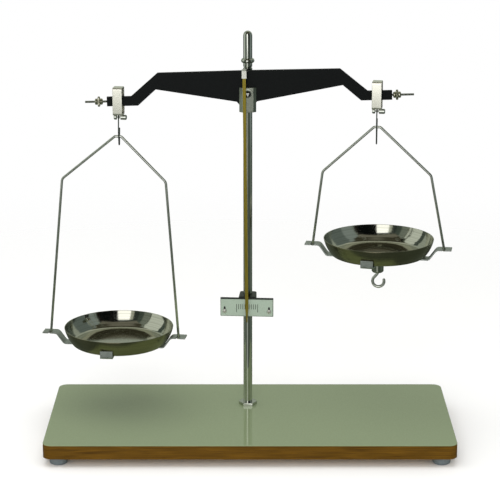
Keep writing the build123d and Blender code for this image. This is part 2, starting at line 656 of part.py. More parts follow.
def s_hook(length, seat_drop):
    """An S-hook in the YZ plane: an eye round the bar's neck, a narrow V below for the bail.

    The origin is the bar's axis. The V is just wide enough for the bail's wire at the seat.
    """
    wire = HOOK_WIRE / 2
    eye = CROSSBAR_NECK_DIAMETER / 2 + HOOK_EYE_CLEARANCE + wire
    tip = HOOK_TIP_RADIUS + wire
    tip_centre = length - wire - tip
    seat_gap = BAIL_WIRE / 2 + wire + HOOK_SEAT_CLEARANCE
    slant = asin((seat_gap - tip) / (tip_centre - seat_drop))
    tangent = (-tip * cos(slant), -tip_centre - tip * sin(slant))

    def on_leg(z):
        """The place on the front leg's line at height z, in the hook's own plane."""
        return (tangent[0] - (z - tangent[1]) * tan(slant), z)

    knee = on_leg(-seat_drop + HOOK_KNEE_ABOVE_SEAT)
    tail = on_leg(-seat_drop + HOOK_TAIL_ABOVE_SEAT)
    eye_end = radians(-HOOK_EYE_OPENING_ANGLE)
    with BuildLine(Plane.YZ) as path:
        CenterArc((0, 0), eye, -HOOK_EYE_OPENING_ANGLE, 180 + HOOK_EYE_OPENING_ANGLE)
        FilletPolyline((-eye, 0), (-eye, -HOOK_STRAIGHT), knee, tangent, radius=HOOK_BEND)
        ThreePointArc(tangent, (0, -tip_centre - tip), (-tangent[0], tangent[1]))
        Line((-tangent[0], tangent[1]), (-tail[0], tail[1]))
    first = (0, eye * cos(eye_end), eye * sin(eye_end))
    return wire_along(path.wire(), HOOK_WIRE, first, (0, -sin(eye_end), cos(eye_end)))


def bail_parts(drop, shoulder_drop, shoulder_half, apex_shift, shoulder_shift, foot_shift):
    """A bail of round wire in the XZ plane, its flat apex through the origin, with two feet.

    The legs run down through the tabs of the carrier and end in upset heads below them.
    """
    half_apex = BAIL_APEX_WIDTH / 2
    feet = (foot_shift - BAIL_FOOT_HALF, foot_shift + BAIL_FOOT_HALF)
    shoulders = (shoulder_shift - shoulder_half, shoulder_shift + shoulder_half)
    ends = []
    heads = []
    for foot, shoulder in zip(feet, shoulders):
        lean = (foot - shoulder) / (drop - shoulder_drop)
        below = STRAP_THICKNESS / 2 + BAIL_HEAD_GAP + BAIL_HEAD_HEIGHT / 2
        end = (foot + lean * below, -drop - below)
        radius = BAIL_HEAD_DIAMETER / 2
        half_height = BAIL_HEAD_HEIGHT / 2
        head = solid_of_revolution([
            (0, half_height), (radius, half_height),
            (radius - BAIL_HEAD_DRAFT, -half_height / 2),
            (radius - BAIL_HEAD_ROUND, -half_height), (0, -half_height),
        ])
        heads.append(Pos(end[0], 0, end[1]) * head)
        ends.append(end)
    points = [
        ends[0], (shoulders[0], -shoulder_drop), (apex_shift - half_apex, 0),
        (apex_shift + half_apex, 0), (shoulders[1], -shoulder_drop), ends[1],
    ]
    with BuildLine(Plane.XZ) as path:
        FilletPolyline(*points, radius=[
            BAIL_SHOULDER_BEND, BAIL_APEX_BEND, BAIL_APEX_BEND, BAIL_SHOULDER_BEND
        ])
    first, second = points[0], points[1]
    direction = (second[0] - first[0], 0, second[1] - first[1])
    wire = wire_along(path.wire(), BAIL_WIRE, (first[0], 0, first[1]), direction)
    return wire + heads[0] + heads[1]


def carrier_parts(feet, arm_skew, rivet_reach):
    """The strap that the dish stands on, its cross arm and the rivet that joins them.

    The origin is at the middle between the bail's feet, on the middle of the tabs' thickness.
    The arm crosses the strap at a right angle but for its skew.
    A rivet that reaches further down holds the boss; otherwise it has a second head.
    """
    strap_z = -CARRIER_RISE
    half = STRAP_THICKNESS / 2
    points = [
        (-CARRIER_HALF, 0), (-CARRIER_TAB_START, 0), (-CARRIER_FOOT_START, strap_z),
        (CARRIER_FOOT_START, strap_z), (CARRIER_TAB_START, 0), (CARRIER_HALF, 0),
    ]
    line = Pos(0, -half) * FilletPolyline(*points, radius=CARRIER_BEND)
    strap = strip_along(line, STRAP_WIDTH, STRAP_THICKNESS, Plane.XZ)
    slot_width = BAIL_WIRE + 2 * TAB_SLOT_CLEARANCE
    for foot in feet:
        slot_run = STRAP_WIDTH / 2
        slot = Pos(foot, -slot_run / 2, 0) * Box(slot_width, slot_run, 4 * STRAP_THICKNESS)
        hole = rod(slot_width, 4 * STRAP_THICKNESS, (foot, 0, -2 * STRAP_THICKNESS))
        strap = strap - slot - hole
    arm_z = strap_z + STRAP_THICKNESS
    arm_low = arm_z - half
    arm_half = DISH_FOOT_RADIUS + CROSS_ARM_GAP + STRAP_THICKNESS
    arm_line = FilletPolyline(
        (-arm_half, arm_low + CROSS_ARM_RISE), (-arm_half, arm_low),
        (arm_half, arm_low), (arm_half, arm_low + CROSS_ARM_RISE), radius=CROSS_ARM_BEND,
    )
    arm = Rot(0, 0, -arm_skew) * strip_along(arm_line, STRAP_WIDTH, STRAP_THICKNESS, Plane.YZ)
    shank_length = 2 * STRAP_THICKNESS + rivet_reach
    rivet = rod(RIVET_DIAMETER, shank_length, (0, 0, strap_z - half - rivet_reach))
    rivet = rivet + rod(RIVET_HEAD_DIAMETER, RIVET_HEAD_HEIGHT, (0, 0, arm_z + half))
    if rivet_reach == 0:
        lower_head = rod(
            RIVET_LOWER_HEAD_DIAMETER, RIVET_LOWER_HEAD_HEIGHT, (0, 0, strap_z - half), (0, 0, -1)
        )
        rivet = rivet + chamfer(
            lower_head.edges().group_by(Axis.Z)[0], RIVET_LOWER_HEAD_HEIGHT / 2
        )
    return strap - rivet, arm - rivet, rivet


def dish():
    """A pressed dish with a raised middle, a rounded foot and a flaring wall."""
    outer = [
        (DISH_STEP_RADIUS, DISH_STEP_HEIGHT), (DISH_STEP_RADIUS + DISH_STEP_WIDTH, 0),
        (DISH_FOOT_RADIUS, 0), (DISH_RIM_RADIUS, DISH_DEPTH),
    ]
    bottom = Polyline((0, DISH_STEP_HEIGHT), outer[0], outer[1])
    line = bottom + FilletPolyline(*outer[1:], radius=DISH_CORNER)
    skin = offset(line, amount=DISH_WALL, side=Side.LEFT, closed=True)
    return revolve(Plane.XZ * make_face(skin), axis=Axis.Z)


def body_hook_parts():
    """The boss under the carrier and the swivelling hook in it, from the strap's underside."""
    chamfered = BOSS_DIAMETER / 2 - BOSS_CHAMFER
    boss = solid_of_revolution([
        (0, 0), (BOSS_DIAMETER / 2, 0), (BOSS_DIAMETER / 2, -BOSS_HEIGHT + BOSS_CHAMFER),
        (chamfered, -BOSS_HEIGHT), (0, -BOSS_HEIGHT),
    ])
    floor = -BOSS_HEIGHT + BOSS_FLOOR
    boss = boss - rod(BOSS_ROOM_DIAMETER, BOSS_ROOM_HEIGHT, (0, 0, floor))
    boss = boss - rod(BODY_HOOK_WIRE + 2 * SWIVEL_CLEARANCE, BOSS_FLOOR, (0, 0, -BOSS_HEIGHT))
    boss = boss - rod(RIVET_DIAMETER, RIVET_BOSS_REACH, (0, 0, -RIVET_BOSS_REACH))
    centre = (BODY_HOOK_SHIFT, -BOSS_HEIGHT - BODY_HOOK_DROP)
    start = radians(BODY_HOOK_START_ANGLE)
    meet = (
        centre[0] + BODY_HOOK_RADIUS * cos(start), centre[1] + BODY_HOOK_RADIUS * sin(start)
    )
    run = -meet[0] / sin(start)
    corner = (0, meet[1] - run * cos(start))
    shank_top = floor + SWIVEL_CLEARANCE
    hook_arc = BODY_HOOK_END_ANGLE - BODY_HOOK_START_ANGLE
    with BuildLine(Plane.XZ) as path:
        FilletPolyline((0, shank_top), corner, meet, radius=BODY_HOOK_BEND)
        CenterArc(centre, BODY_HOOK_RADIUS, BODY_HOOK_START_ANGLE, hook_arc)
    wire = wire_along(path.wire(), BODY_HOOK_WIRE, (0, 0, shank_top), (0, 0, -1))
    end = radians(BODY_HOOK_END_ANGLE)
    tip = Pos(
        centre[0] + BODY_HOOK_RADIUS * cos(end), 0, centre[1] + BODY_HOOK_RADIUS * sin(end)
    ) * Sphere(BODY_HOOK_WIRE / 2)
    head = rod(BODY_HOOK_HEAD_DIAMETER, BODY_HOOK_HEAD_HEIGHT, (0, 0, shank_top))
    return boss, wire + tip + head


def hanging_side(name, side, hook_length, seat_drop, bail, turn, arm_skew, dish_shift):
    """Everything that hangs from one end of the beam, with the places of its pivots."""
    tilt = radians(BEAM_TILT)
    knife_x = side * ARM * cos(tilt) + END_KNIFE_DROP * sin(tilt)
    knife_z = PIVOT_HEIGHT + side * ARM * sin(tilt) - END_KNIFE_DROP * cos(tilt)
    knife = Pos(knife_x, BEAM_BACK, knife_z)
    loop, bearings, bar = stirrup_parts()
    turned = Rot(0, 0, -turn)
    nodes[f"{name}_stirrup"] = knife * turned * loop
    nodes[f"{name}_stirrup_bearings"] = knife * turned * bearings
    nodes[f"{name}_crossbar"] = knife * turned * bar
    hang = Pos(knife_x, BEAM_BACK, knife_z - CROSSBAR_DROP) * turned
    nodes[f"{name}_hook"] = hang * s_hook(hook_length, seat_drop)
    drop, foot_shift = bail[0], bail[-1]
    wire = bail_parts(*bail)
    seat = hang * Pos(0, 0, -seat_drop)
    nodes[f"{name}_bail"] = seat * wire
    tabs = seat * Pos(foot_shift, 0, -drop)
    half = BAIL_FOOT_HALF
    strap, arm, rivet = carrier_parts(
        (-half, half), arm_skew, RIVET_BOSS_REACH if side > 0 else 0
    )
    dish_z = -CARRIER_RISE + DISH_UNDERSIDE_TO_STRAP
    nodes[f"{name}_carrier"] = tabs * strap
    nodes[f"{name}_cross_arm"] = tabs * arm
    nodes[f"{name}_carrier_rivet"] = tabs * rivet
    nodes[f"{name}_pan"] = tabs * Pos(dish_shift, 0, dish_z) * dish()
    if side > 0:
        boss, hook = body_hook_parts()
        under = tabs * Pos(0, 0, -CARRIER_RISE - STRAP_THICKNESS / 2)
        nodes["hook_boss"] = under * boss
        nodes["body_hook"] = under * hook
        print("pivot body_hook", tuple(round(v, 4) for v in under.position))
    print(f"pivot {name}_knife", tuple(round(v, 4) for v in knife.position))
    print(f"pivot {name}_bar", tuple(round(v, 4) for v in hang.position))
    print(f"pivot {name}_seat", tuple(round(v, 4) for v in seat.position))
    print(f"pivot {name}_tabs", tuple(round(v, 4) for v in tabs.position), "turn", turn)


def scale():
    """The plate on its spring clip, turned a little on the column as in use."""
    place = Pos(0, COLUMN_BACK, SCALE_BOTTOM) * Rot(0, 0, -SCALE_TURN)
    plate_y = PLATE_FRONT - COLUMN_BACK
    bar_y = plate_y + PLATE_THICKNESS
    lobe_y = bar_y + BAR_THICKNESS
    front_plane = Plane(origin=(0, plate_y, 0), x_dir=(1, 0, 0), z_dir=(0, -1, 0))
    face = Pos(0, PLATE_HEIGHT / 2) * RectangleRounded(PLATE_WIDTH, PLATE_HEIGHT, PLATE_CORNER)
    slot_middle = SCALE_SCREW_HEIGHT + (SCALE_SLOT_LENGTH - SCALE_SCREW_DIAMETER) / 2
    bar_height = PLATE_HEIGHT + BAR_RISE
    screws = []
    bar = Pos(0, bar_y + BAR_THICKNESS / 2, bar_height / 2) * Box(
        PLATE_WIDTH, BAR_THICKNESS, bar_height
    )
    for x in (-SCALE_SCREW_SPACING / 2, SCALE_SCREW_SPACING / 2):
        face = face - Pos(x, slot_middle) * Rot(0, 0, 90) * SlotOverall(
            SCALE_SLOT_LENGTH, SCALE_SCREW_DIAMETER
        )
        shank = rod(
            SCALE_SCREW_DIAMETER, PLATE_THICKNESS + BAR_THICKNESS,
            (x, plate_y, SCALE_SCREW_HEIGHT), (0, 1, 0),
        )
        head = rod(
            SCALE_SCREW_HEAD_DIAMETER, SCALE_SCREW_HEAD_HEIGHT,
            (x, plate_y - SCALE_SCREW_HEAD_HEIGHT, SCALE_SCREW_HEIGHT), (0, 1, 0),
        )
        head = chamfer(head.edges().group_by(Axis.Y)[0], SCALE_SCREW_HEAD_HEIGHT / 2)
        screws.append(shank + head)
        bar = bar - shank
    nodes["scale_plate"] = place * extrude(front_plane * face, -PLATE_THICKNESS)
    lobe_height = bar_height + LOBE_RISE
    lobe_face = Pos(0, lobe_height / 2) * Rectangle(LOBE_WIDTH, lobe_height)
    lobe_face = fillet(lobe_face.vertices().group_by(Axis.Y)[-1], LOBE_CORNER)
    lobe_depth = COLUMN_DIAMETER / 2 + LOBE_BACK_WALL - lobe_y
    lobe_plane = Plane(origin=(0, lobe_y, 0), x_dir=(1, 0, 0), z_dir=(0, -1, 0))
    lobes = extrude(lobe_plane * lobe_face, -lobe_depth)
    bore = rod(COLUMN_DIAMETER + 2 * SLIDING_CLEARANCE, 2 * lobe_height, (0, 0, -lobe_height / 2))
    mouth = Pos(0, lobe_y / 2, 0) * Box(LOBE_MOUTH, -lobe_y, 4 * lobe_height)
    lobes = lobes - bore - mouth
    nodes["scale_bracket"] = place * (bar + lobes)
    nodes["scale_screws"] = place * Compound(children=screws)


base()
column()
centre_bearing()
beam()
hanging_side(
    "left", -1, LEFT_HOOK_LENGTH, LEFT_SEAT_DROP,
    (LEFT_BAIL_DROP, LEFT_SHOULDER_DROP, LEFT_SHOULDER_HALF, LEFT_APEX_SHIFT,
     LEFT_SHOULDER_SHIFT, LEFT_FOOT_SHIFT),
    LEFT_TURN, LEFT_ARM_SKEW_ANGLE, LEFT_DISH_SHIFT,
)
hanging_side(
    "right", 1, RIGHT_HOOK_LENGTH, RIGHT_SEAT_DROP,
    (RIGHT_BAIL_DROP, RIGHT_SHOULDER_DROP, RIGHT_SHOULDER_HALF, RIGHT_APEX_SHIFT,
     RIGHT_SHOULDER_SHIFT, RIGHT_FOOT_SHIFT),
    RIGHT_TURN, RIGHT_ARM_SKEW_ANGLE, RIGHT_DISH_SHIFT,
)
scale()

os.makedirs("parts", exist_ok=True)
for node_name, shape in nodes.items():
    export_step(shape, f"parts/{node_name}.step")
print(len(nodes), "nodes")
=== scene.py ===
"""How the hydrostatic balance looks: its finishes, and the pieces that need a finer surface.

Lengths are written in millimetres and go into the meshes in metres; only the studio round the
balance is written in metres. X runs to the right along the beam, Y away from the viewer, Z up,
with the table top at zero.
"""
import json
from math import asin, cos, pi, radians, sin, tan

import bmesh
import bpy
import numpy as np
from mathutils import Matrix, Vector


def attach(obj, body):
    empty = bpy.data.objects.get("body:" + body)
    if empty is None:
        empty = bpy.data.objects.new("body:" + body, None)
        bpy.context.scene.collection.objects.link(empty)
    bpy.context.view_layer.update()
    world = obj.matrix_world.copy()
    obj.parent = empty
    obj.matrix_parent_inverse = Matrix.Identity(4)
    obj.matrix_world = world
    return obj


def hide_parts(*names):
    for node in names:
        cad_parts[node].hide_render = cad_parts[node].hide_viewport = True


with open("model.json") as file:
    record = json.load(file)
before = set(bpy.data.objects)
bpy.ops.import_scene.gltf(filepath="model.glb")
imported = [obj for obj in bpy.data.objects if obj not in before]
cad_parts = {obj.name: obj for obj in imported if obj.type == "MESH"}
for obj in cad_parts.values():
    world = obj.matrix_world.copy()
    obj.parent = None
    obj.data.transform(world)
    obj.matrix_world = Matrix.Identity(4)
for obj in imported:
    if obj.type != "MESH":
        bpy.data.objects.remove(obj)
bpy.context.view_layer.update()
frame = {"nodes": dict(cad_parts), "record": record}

nodes = frame["nodes"]

METRES = 0.001
SLOT_OF = {entry["node"]: entry["material_slot"] for entry in frame["record"]["subparts"]}
BODY_OF = {node: body for body, members in frame["record"]["behaviour"]["bodies"].items()
           for node in members}
SIDES = ("left", "right")
WAY = {"left": -1, "right": 1}

# The column's place on the board, and its top
COLUMN_Y = 33.0
COLUMN_TOP = 414.7

# The beam's centre knife edge, and how far its left end hangs down, in degrees
PIVOT = (0.0, 22.3, 386.2)
BEAM_TILT = 1.35

# From the centre knife edge along the beam: the end knife edges and how far they lie below it,
# the ends of the wings, and how far both wings are shifted to the right
ARM = 141.5
KNIFE_DROP = 3.5
WING_END = 155.8
WING_SHIFT = 1.8

# What hangs at each end: its turn about the upright in degrees, then, from the end knife edge
# down, the crossbar and the dish, and the dish's shift across
TURN = {"left": 8.0, "right": 10.0}
CROSSBAR_DROP = 17.3
DISH_DROP = {"left": 276.45, "right": 179.65}
DISH_SHIFT = {"left": -4.3, "right": 4.4}


# Places

def turned(points, origin, turn=0.0, tilt=0.0):
    """Points turned about Y by -tilt, then about Z by -turn, then moved to the origin."""
    points = np.asarray(points, float)
    a, b = radians(-tilt), radians(-turn)
    about_y = np.array([[cos(a), 0, sin(a)], [0, 1, 0], [-sin(a), 0, cos(a)]])
    about_z = np.array([[cos(b), -sin(b), 0], [sin(b), cos(b), 0], [0, 0, 1]])
    return points @ (about_z @ about_y).T + np.asarray(origin, float)


KNIFE = {side: turned((WAY[side] * ARM, 0, -KNIFE_DROP), PIVOT, tilt=BEAM_TILT)
         for side in SIDES}


def hung(side, drop, across=0.0):
    """The place a drop below a side's end knife edge, shifted across in the bail's plane."""
    return turned((across, 0, -drop), KNIFE[side], TURN[side])


DISH_PLACE = {side: hung(side, DISH_DROP[side], DISH_SHIFT[side]) for side in SIDES}


# Curves and surfaces

def unit(v):
    """The vector at length one."""
    return v / np.linalg.norm(v, axis=-1, keepdims=True)


def tangents(path):
    """Unit directions along a path, each midway between the two runs that meet there."""
    ahead = unit(path[1:] - path[:-1])
    return unit(np.vstack([ahead[:1], ahead[:-1] + ahead[1:], ahead[-1:]]))


def arc(centre, radius, start, stop, count):
    """Points (centre + radius (cos t, sin t)) for angles in degrees, both ends included."""
    t = np.radians(np.linspace(start, stop, count))
    return np.stack([centre[0] + radius * np.cos(t), centre[1] + radius * np.sin(t)], 1)


def rounded_path(corners, radii, arc_points=14):
    """The runs between corners, each inner corner turned by an arc of its radius.

    Arc point(t) = centre + u cos t + w sin t, with u from the centre to the arc's start.
    """
    corners = np.asarray(corners, float)
    rows = [corners[:1]]
    for before, corner, after, radius in zip(corners, corners[1:], corners[2:], radii):
        back, on = unit(before - corner), unit(after - corner)
        half = np.arccos(np.clip(back @ on, -1, 1)) / 2
        centre = corner + unit(back + on) * radius / sin(half)
        u = corner + back * radius / tan(half) - centre
        v = corner + on * radius / tan(half) - centre
        bend = pi - 2 * half
        w = (v - u * cos(bend)) / sin(bend)
        t = np.linspace(0, bend, arc_points)[:, None]
        rows.append(centre + u * np.cos(t) + w * np.sin(t))
    rows.append(corners[-1:])
    return np.vstack(rows)


def upright(path, across=False):
    """A path in two numbers stood up in the XZ plane, or in the YZ plane where it is across."""
    return np.insert(np.asarray(path, float), 0 if across else 1, 0.0, axis=1)


def grid_faces(rows, columns, closed_rows=False):
    """Quads between neighbouring rows of a grid whose columns run round and meet."""
    row = np.arange(rows if closed_rows else rows - 1)[:, None]
    column = np.arange(columns)[None, :]
    following = (row + 1) % rows
    beside = (column + 1) % columns
    corners = (row * columns + column, row * columns + beside,
               following * columns + beside, following * columns + column)
    return np.stack(np.broadcast_arrays(*corners), -1).reshape(-1, 4)


def held(profile, keep=0.1):
    """A profile whose long runs get a point just inside each end, so that they shade straight."""
    run = profile[1:] - profile[:-1]
    length = np.linalg.norm(run[:, :2], axis=1)
    long = np.flatnonzero(length > 6 * keep)
    inset = run[long] * (keep / length[long])[:, None]
    added = np.stack([profile[long] + inset, profile[long + 1] - inset], 1)
    return np.insert(profile, np.repeat(long + 1, 2), added.reshape(-1, profile.shape[1]), axis=0)


def lathe(profile, sides=96, ripple=0.0, ripples=0, round_a_bore=False):
    """Point(i, a) = ((r(i) + ripple(i) cos(n a)) cos a, the same sin a, z(i)), a from 0 to 2 pi.

    A profile that goes round a bore closes on itself; any other starts and ends on the axis.
    """
    profile = np.asarray(profile, float)
    ripple = np.broadcast_to(ripple, len(profile))
    profile = held(np.column_stack([profile, ripple]))
    a = np.linspace(0, 2 * pi, sides, endpoint=False)[None, :]
    r = profile[:, :1] + profile[:, 2:] * np.cos(ripples * a)
    z = np.broadcast_to(profile[:, 1:2], r.shape)
    points = np.stack([r * np.cos(a), r * np.sin(a), z], -1)
    return points, grid_faces(len(profile), sides, round_a_bore)


def end_cap(tip, way, radius, domed):
    """Centres and radii of the rings that close a wire's tip, from its last ring outwards.

    Over a dome, centre(t) = tip + way r sin t and radius(t) = r cos t; otherwise a chamfer of
    an eighth of the radius and a flat.
    """
    if domed:
        t = np.linspace(0, pi / 2, 7)[1:]
        return tip + way * radius * np.sin(t)[:, None], radius * np.cos(t)
    chamfer = 0.12
    return tip + way * chamfer * radius * np.ones((2, 1)), radius * np.array([1 - chamfer, 0.0])


def wire(path, radius, normal, sides=28, domed=(False, False)):
    """Round wire on a flat path: point(i, a) = path(i) + r(i) (cos a side(i) + sin a normal)."""
    along = tangents(path)
    start, start_radii = end_cap(path[0], -along[0], radius, domed[0])
    stop, stop_radii = end_cap(path[-1], along[-1], radius, domed[1])
    along = np.vstack([np.repeat(along[:1], len(start), 0), along,
                       np.repeat(along[-1:], len(stop), 0)])
    radii = np.concatenate([start_radii[::-1], np.full(len(path), radius), stop_radii])
    path = np.vstack([start[::-1], path, stop])
    side = np.cross(along, normal)[:, None, :]
    a = np.linspace(0, 2 * pi, sides, endpoint=False)[None, :, None]
    ring = np.cos(a) * side + np.sin(a) * np.asarray(normal, float)
    return path[:, None, :] + radii[:, None, None] * ring, grid_faces(len(path), sides)


def threaded(radius, depth, pitch, length, sides=24):
    """A screw thread: r = radius - depth (1 + cos 2 pi (z / pitch - a / 2 pi)) / 2.

    The ends are turned to a chamfer and closed; the thread is drawn a little coarser than the
    real 0.45 mm one, so that it shows.
    """
    chamfer, slope, rows_per_turn = 0.45, 1.2, 8
    z = np.linspace(0, length, int(length / pitch * rows_per_turn))[:, None]
    a = np.linspace(0, 2 * pi, sides, endpoint=False)[None, :]
    r = radius - depth * (1 + np.cos(2 * pi * z / pitch - a)) / 2
    r = np.minimum(r, radius - chamfer + np.minimum(z, length - z) * slope)
    points = np.stack([r * np.cos(a), r * np.sin(a), np.broadcast_to(z, r.shape)], -1)
    ends = np.zeros((1, sides, 3))
    points = np.vstack([ends, points, ends + (0, 0, length)])
    return points, grid_faces(len(points), sides)


def slotted_head(radius, rim, crown, slot_width, slot_floor, slices=24):
    """A domed screw head cut by a driver slot, as slices across it, its foot at zero.

    Slice(x) goes from the foot up to z = rim + crown (1 - (x2 + y2) / radius2), across and down;
    the slices beside the slot are doubled, once at the dome's height and once at its floor.
    """
    half = slot_width / 2
    side = half + (radius - half) * np.sin(np.linspace(0, pi / 2, slices))
    x = np.concatenate([-side[::-1], [-half, half], side])
    low = np.abs(x) <= half + 1e-9
    low[slices - 1] = low[slices + 2] = False
    reach = np.sqrt(np.maximum(radius ** 2 - x ** 2, 0))[:, None]
    y = reach * np.sin(np.linspace(-pi / 2, pi / 2, 25))[None, :]
    z = rim + crown * (1 - (x[:, None] ** 2 + y ** 2) / radius ** 2)
    z = np.where(low[:, None], slot_floor, z)
    top = np.stack([np.broadcast_to(x[:, None], y.shape), y, z], -1)
    first, last = top[:, :1].copy(), top[:, -1:].copy()
    first[..., 2] = last[..., 2] = 0
    points = np.concatenate([first, top, last], 1)
    return points, grid_faces(len(x), points.shape[1])


def bar(left, right, low, high, front, back):
    """A flat bar in X and Z between two depths in Y, with its two faces."""
    outline = np.array([(left, low), (right, low), (right, high), (left, high)])
    points = np.vstack([np.insert(outline, 1, depth, axis=1) for depth in (front, back)])
    return points, [*grid_faces(2, 4).tolist(), [0, 1, 2, 3], [7, 6, 5, 4]]


# Surfaces moved to their places

def laid(surface, origin, turn=0.0, tilt=0.0):
    """A surface turned and moved to its place, with its faces."""
    points, faces = surface
    return turned(np.asarray(points, float).reshape(-1, 3), origin, turn, tilt), faces


def swapped(surface, axes, shift=(0, 0, 0), scale=(1, 1, 1)):
    """A surface with its axes exchanged, then stretched or mirrored, then shifted."""
    points, faces = surface
    return points[..., axes] * scale + shift, faces


def joined(*parts):
    """Several surfaces as one: their points in one array, their faces numbered on."""
    points, faces, count = [], [], 0
    for part_points, part_faces in parts:
        part_points = np.asarray(part_points, float).reshape(-1, 3)
        points.append(part_points)
        faces += [[corner + count for corner in face] for face in part_faces]
        count += len(part_points)
    return np.vstack(points), faces


# A turned form has its axis along Z; these lay it along X or along Y
ALONG_X = [2, 0, 1]
ALONG_Y = [1, 2, 0]


# Finishes

def linear(code):
    """A colour written as sRGB hex, in the linear values that a shader takes."""
    values = [int(code[k:k + 2], 16) / 255 for k in (1, 3, 5)]
    return tuple(v / 12.92 if v <= 0.04045 else ((v + 0.055) / 1.055) ** 2.4
                 for v in values) + (1.0,)


def feed(tree, node, sockets):
    """A node's sockets set to values, or linked where the value is another node's output."""
    for key, value in sockets.items():
        if isinstance(value, bpy.types.NodeSocket):
            tree.links.new(value, node.inputs[key])
        else:
            node.inputs[key].default_value = value


def add(tree, kind, sockets=None, stops=(), **settings):
    """One shader node with its settings and its sockets fed.

    A colour ramp also takes its stops, as pairs of position and hex colour.
    """
    made = tree.nodes.new(kind)
    for key, value in settings.items():
        setattr(made, key, value)
    feed(tree, made, sockets or {})
    for k, (position, code) in enumerate(stops):
        elements = made.color_ramp.elements
        element = elements[k] if k < 2 else elements.new(position)
        element.position, element.color = position, linear(code)
    return made


def new_finish(name):
    """An empty material, its node tree and its Principled shader."""
    finish = bpy.data.materials.new(name)
    finish.use_nodes = True
    tree = finish.node_tree
    return finish, tree, tree.nodes["Principled BSDF"]


def drifting(tree, shader, grain, colours, roughness, spread, bump_mm):
    """Colour, gloss and height that follow one grain.

    The colour and the roughness go from their low to their high value while the grain goes
    from 0.3 to 0.7, where nearly all of a noise lies; the height rises by the bump.
    """
    low, high = 0.3, 0.7
    colour = add(tree, "ShaderNodeValToRGB", {"Fac": grain},
                 [(low, colours[0]), (high, colours[1])])
    gloss = add(tree, "ShaderNodeMapRange", {
        "Value": grain, "From Min": low, "From Max": high,
        "To Min": roughness - spread, "To Max": roughness + spread,
    })
    feed(tree, shader, {"Base Color": colour.outputs["Color"],
                        "Roughness": gloss.outputs["Result"]})
    if bump_mm:
        bump = add(tree, "ShaderNodeBump", {"Height": grain, "Distance": bump_mm * METRES,
                                            "Strength": 1.0})
        feed(tree, shader, {"Normal": bump.outputs["Normal"]})


def plated_metal(name, dark, light, roughness, spread, grain_mm, bump_mm=0.0,
                 stretch=(1, 1, 1), matt=0.0):
    """Metal whose colour and gloss drift a little over grains of a stated size.

    Chrome and nickel plate mirror their surroundings; zinc plate and cast metal are duller,
    with the grain of what lies under them; a matt share spreads light as passivated zinc or
    blasted nickel does. The noise's scale is in grains per metre, and a stretch below one draws
    them out along that axis.
    """
    finish, tree, shader = new_finish(name)
    place = add(tree, "ShaderNodeTexCoord").outputs["Object"]
    drawn = add(tree, "ShaderNodeMapping", {"Vector": place, "Scale": stretch})
    grain = add(tree, "ShaderNodeTexNoise", {
        "Vector": drawn.outputs["Vector"], "Scale": 1000.0 / grain_mm, "Detail": 3.0,
    })
    drifting(tree, shader, grain.outputs["Fac"], (dark, light), roughness, spread, bump_mm)
    feed(tree, shader, {"Metallic": 1.0 - matt})
    return finish


def coated(name, dark, light, roughness, spread, grain_mm, bump_mm=0.0, ior=1.5):
    """Paint, moulded plastic or rubber: a body colour that drifts a little, with fine grain.

    Pressed melamine is smooth and glossy, powder coat, moulded plastic and rubber are duller.
    """
    finish, tree, shader = new_finish(name)
    place = add(tree, "ShaderNodeTexCoord").outputs["Object"]
    grain = add(tree, "ShaderNodeTexNoise", {"Vector": place, "Scale": 1000.0 / grain_mm,
                                             "Detail": 3.0})
    drifting(tree, shader, grain.outputs["Fac"], (dark, light), roughness, spread, bump_mm)
    feed(tree, shader, {"IOR": ior})
    return finish


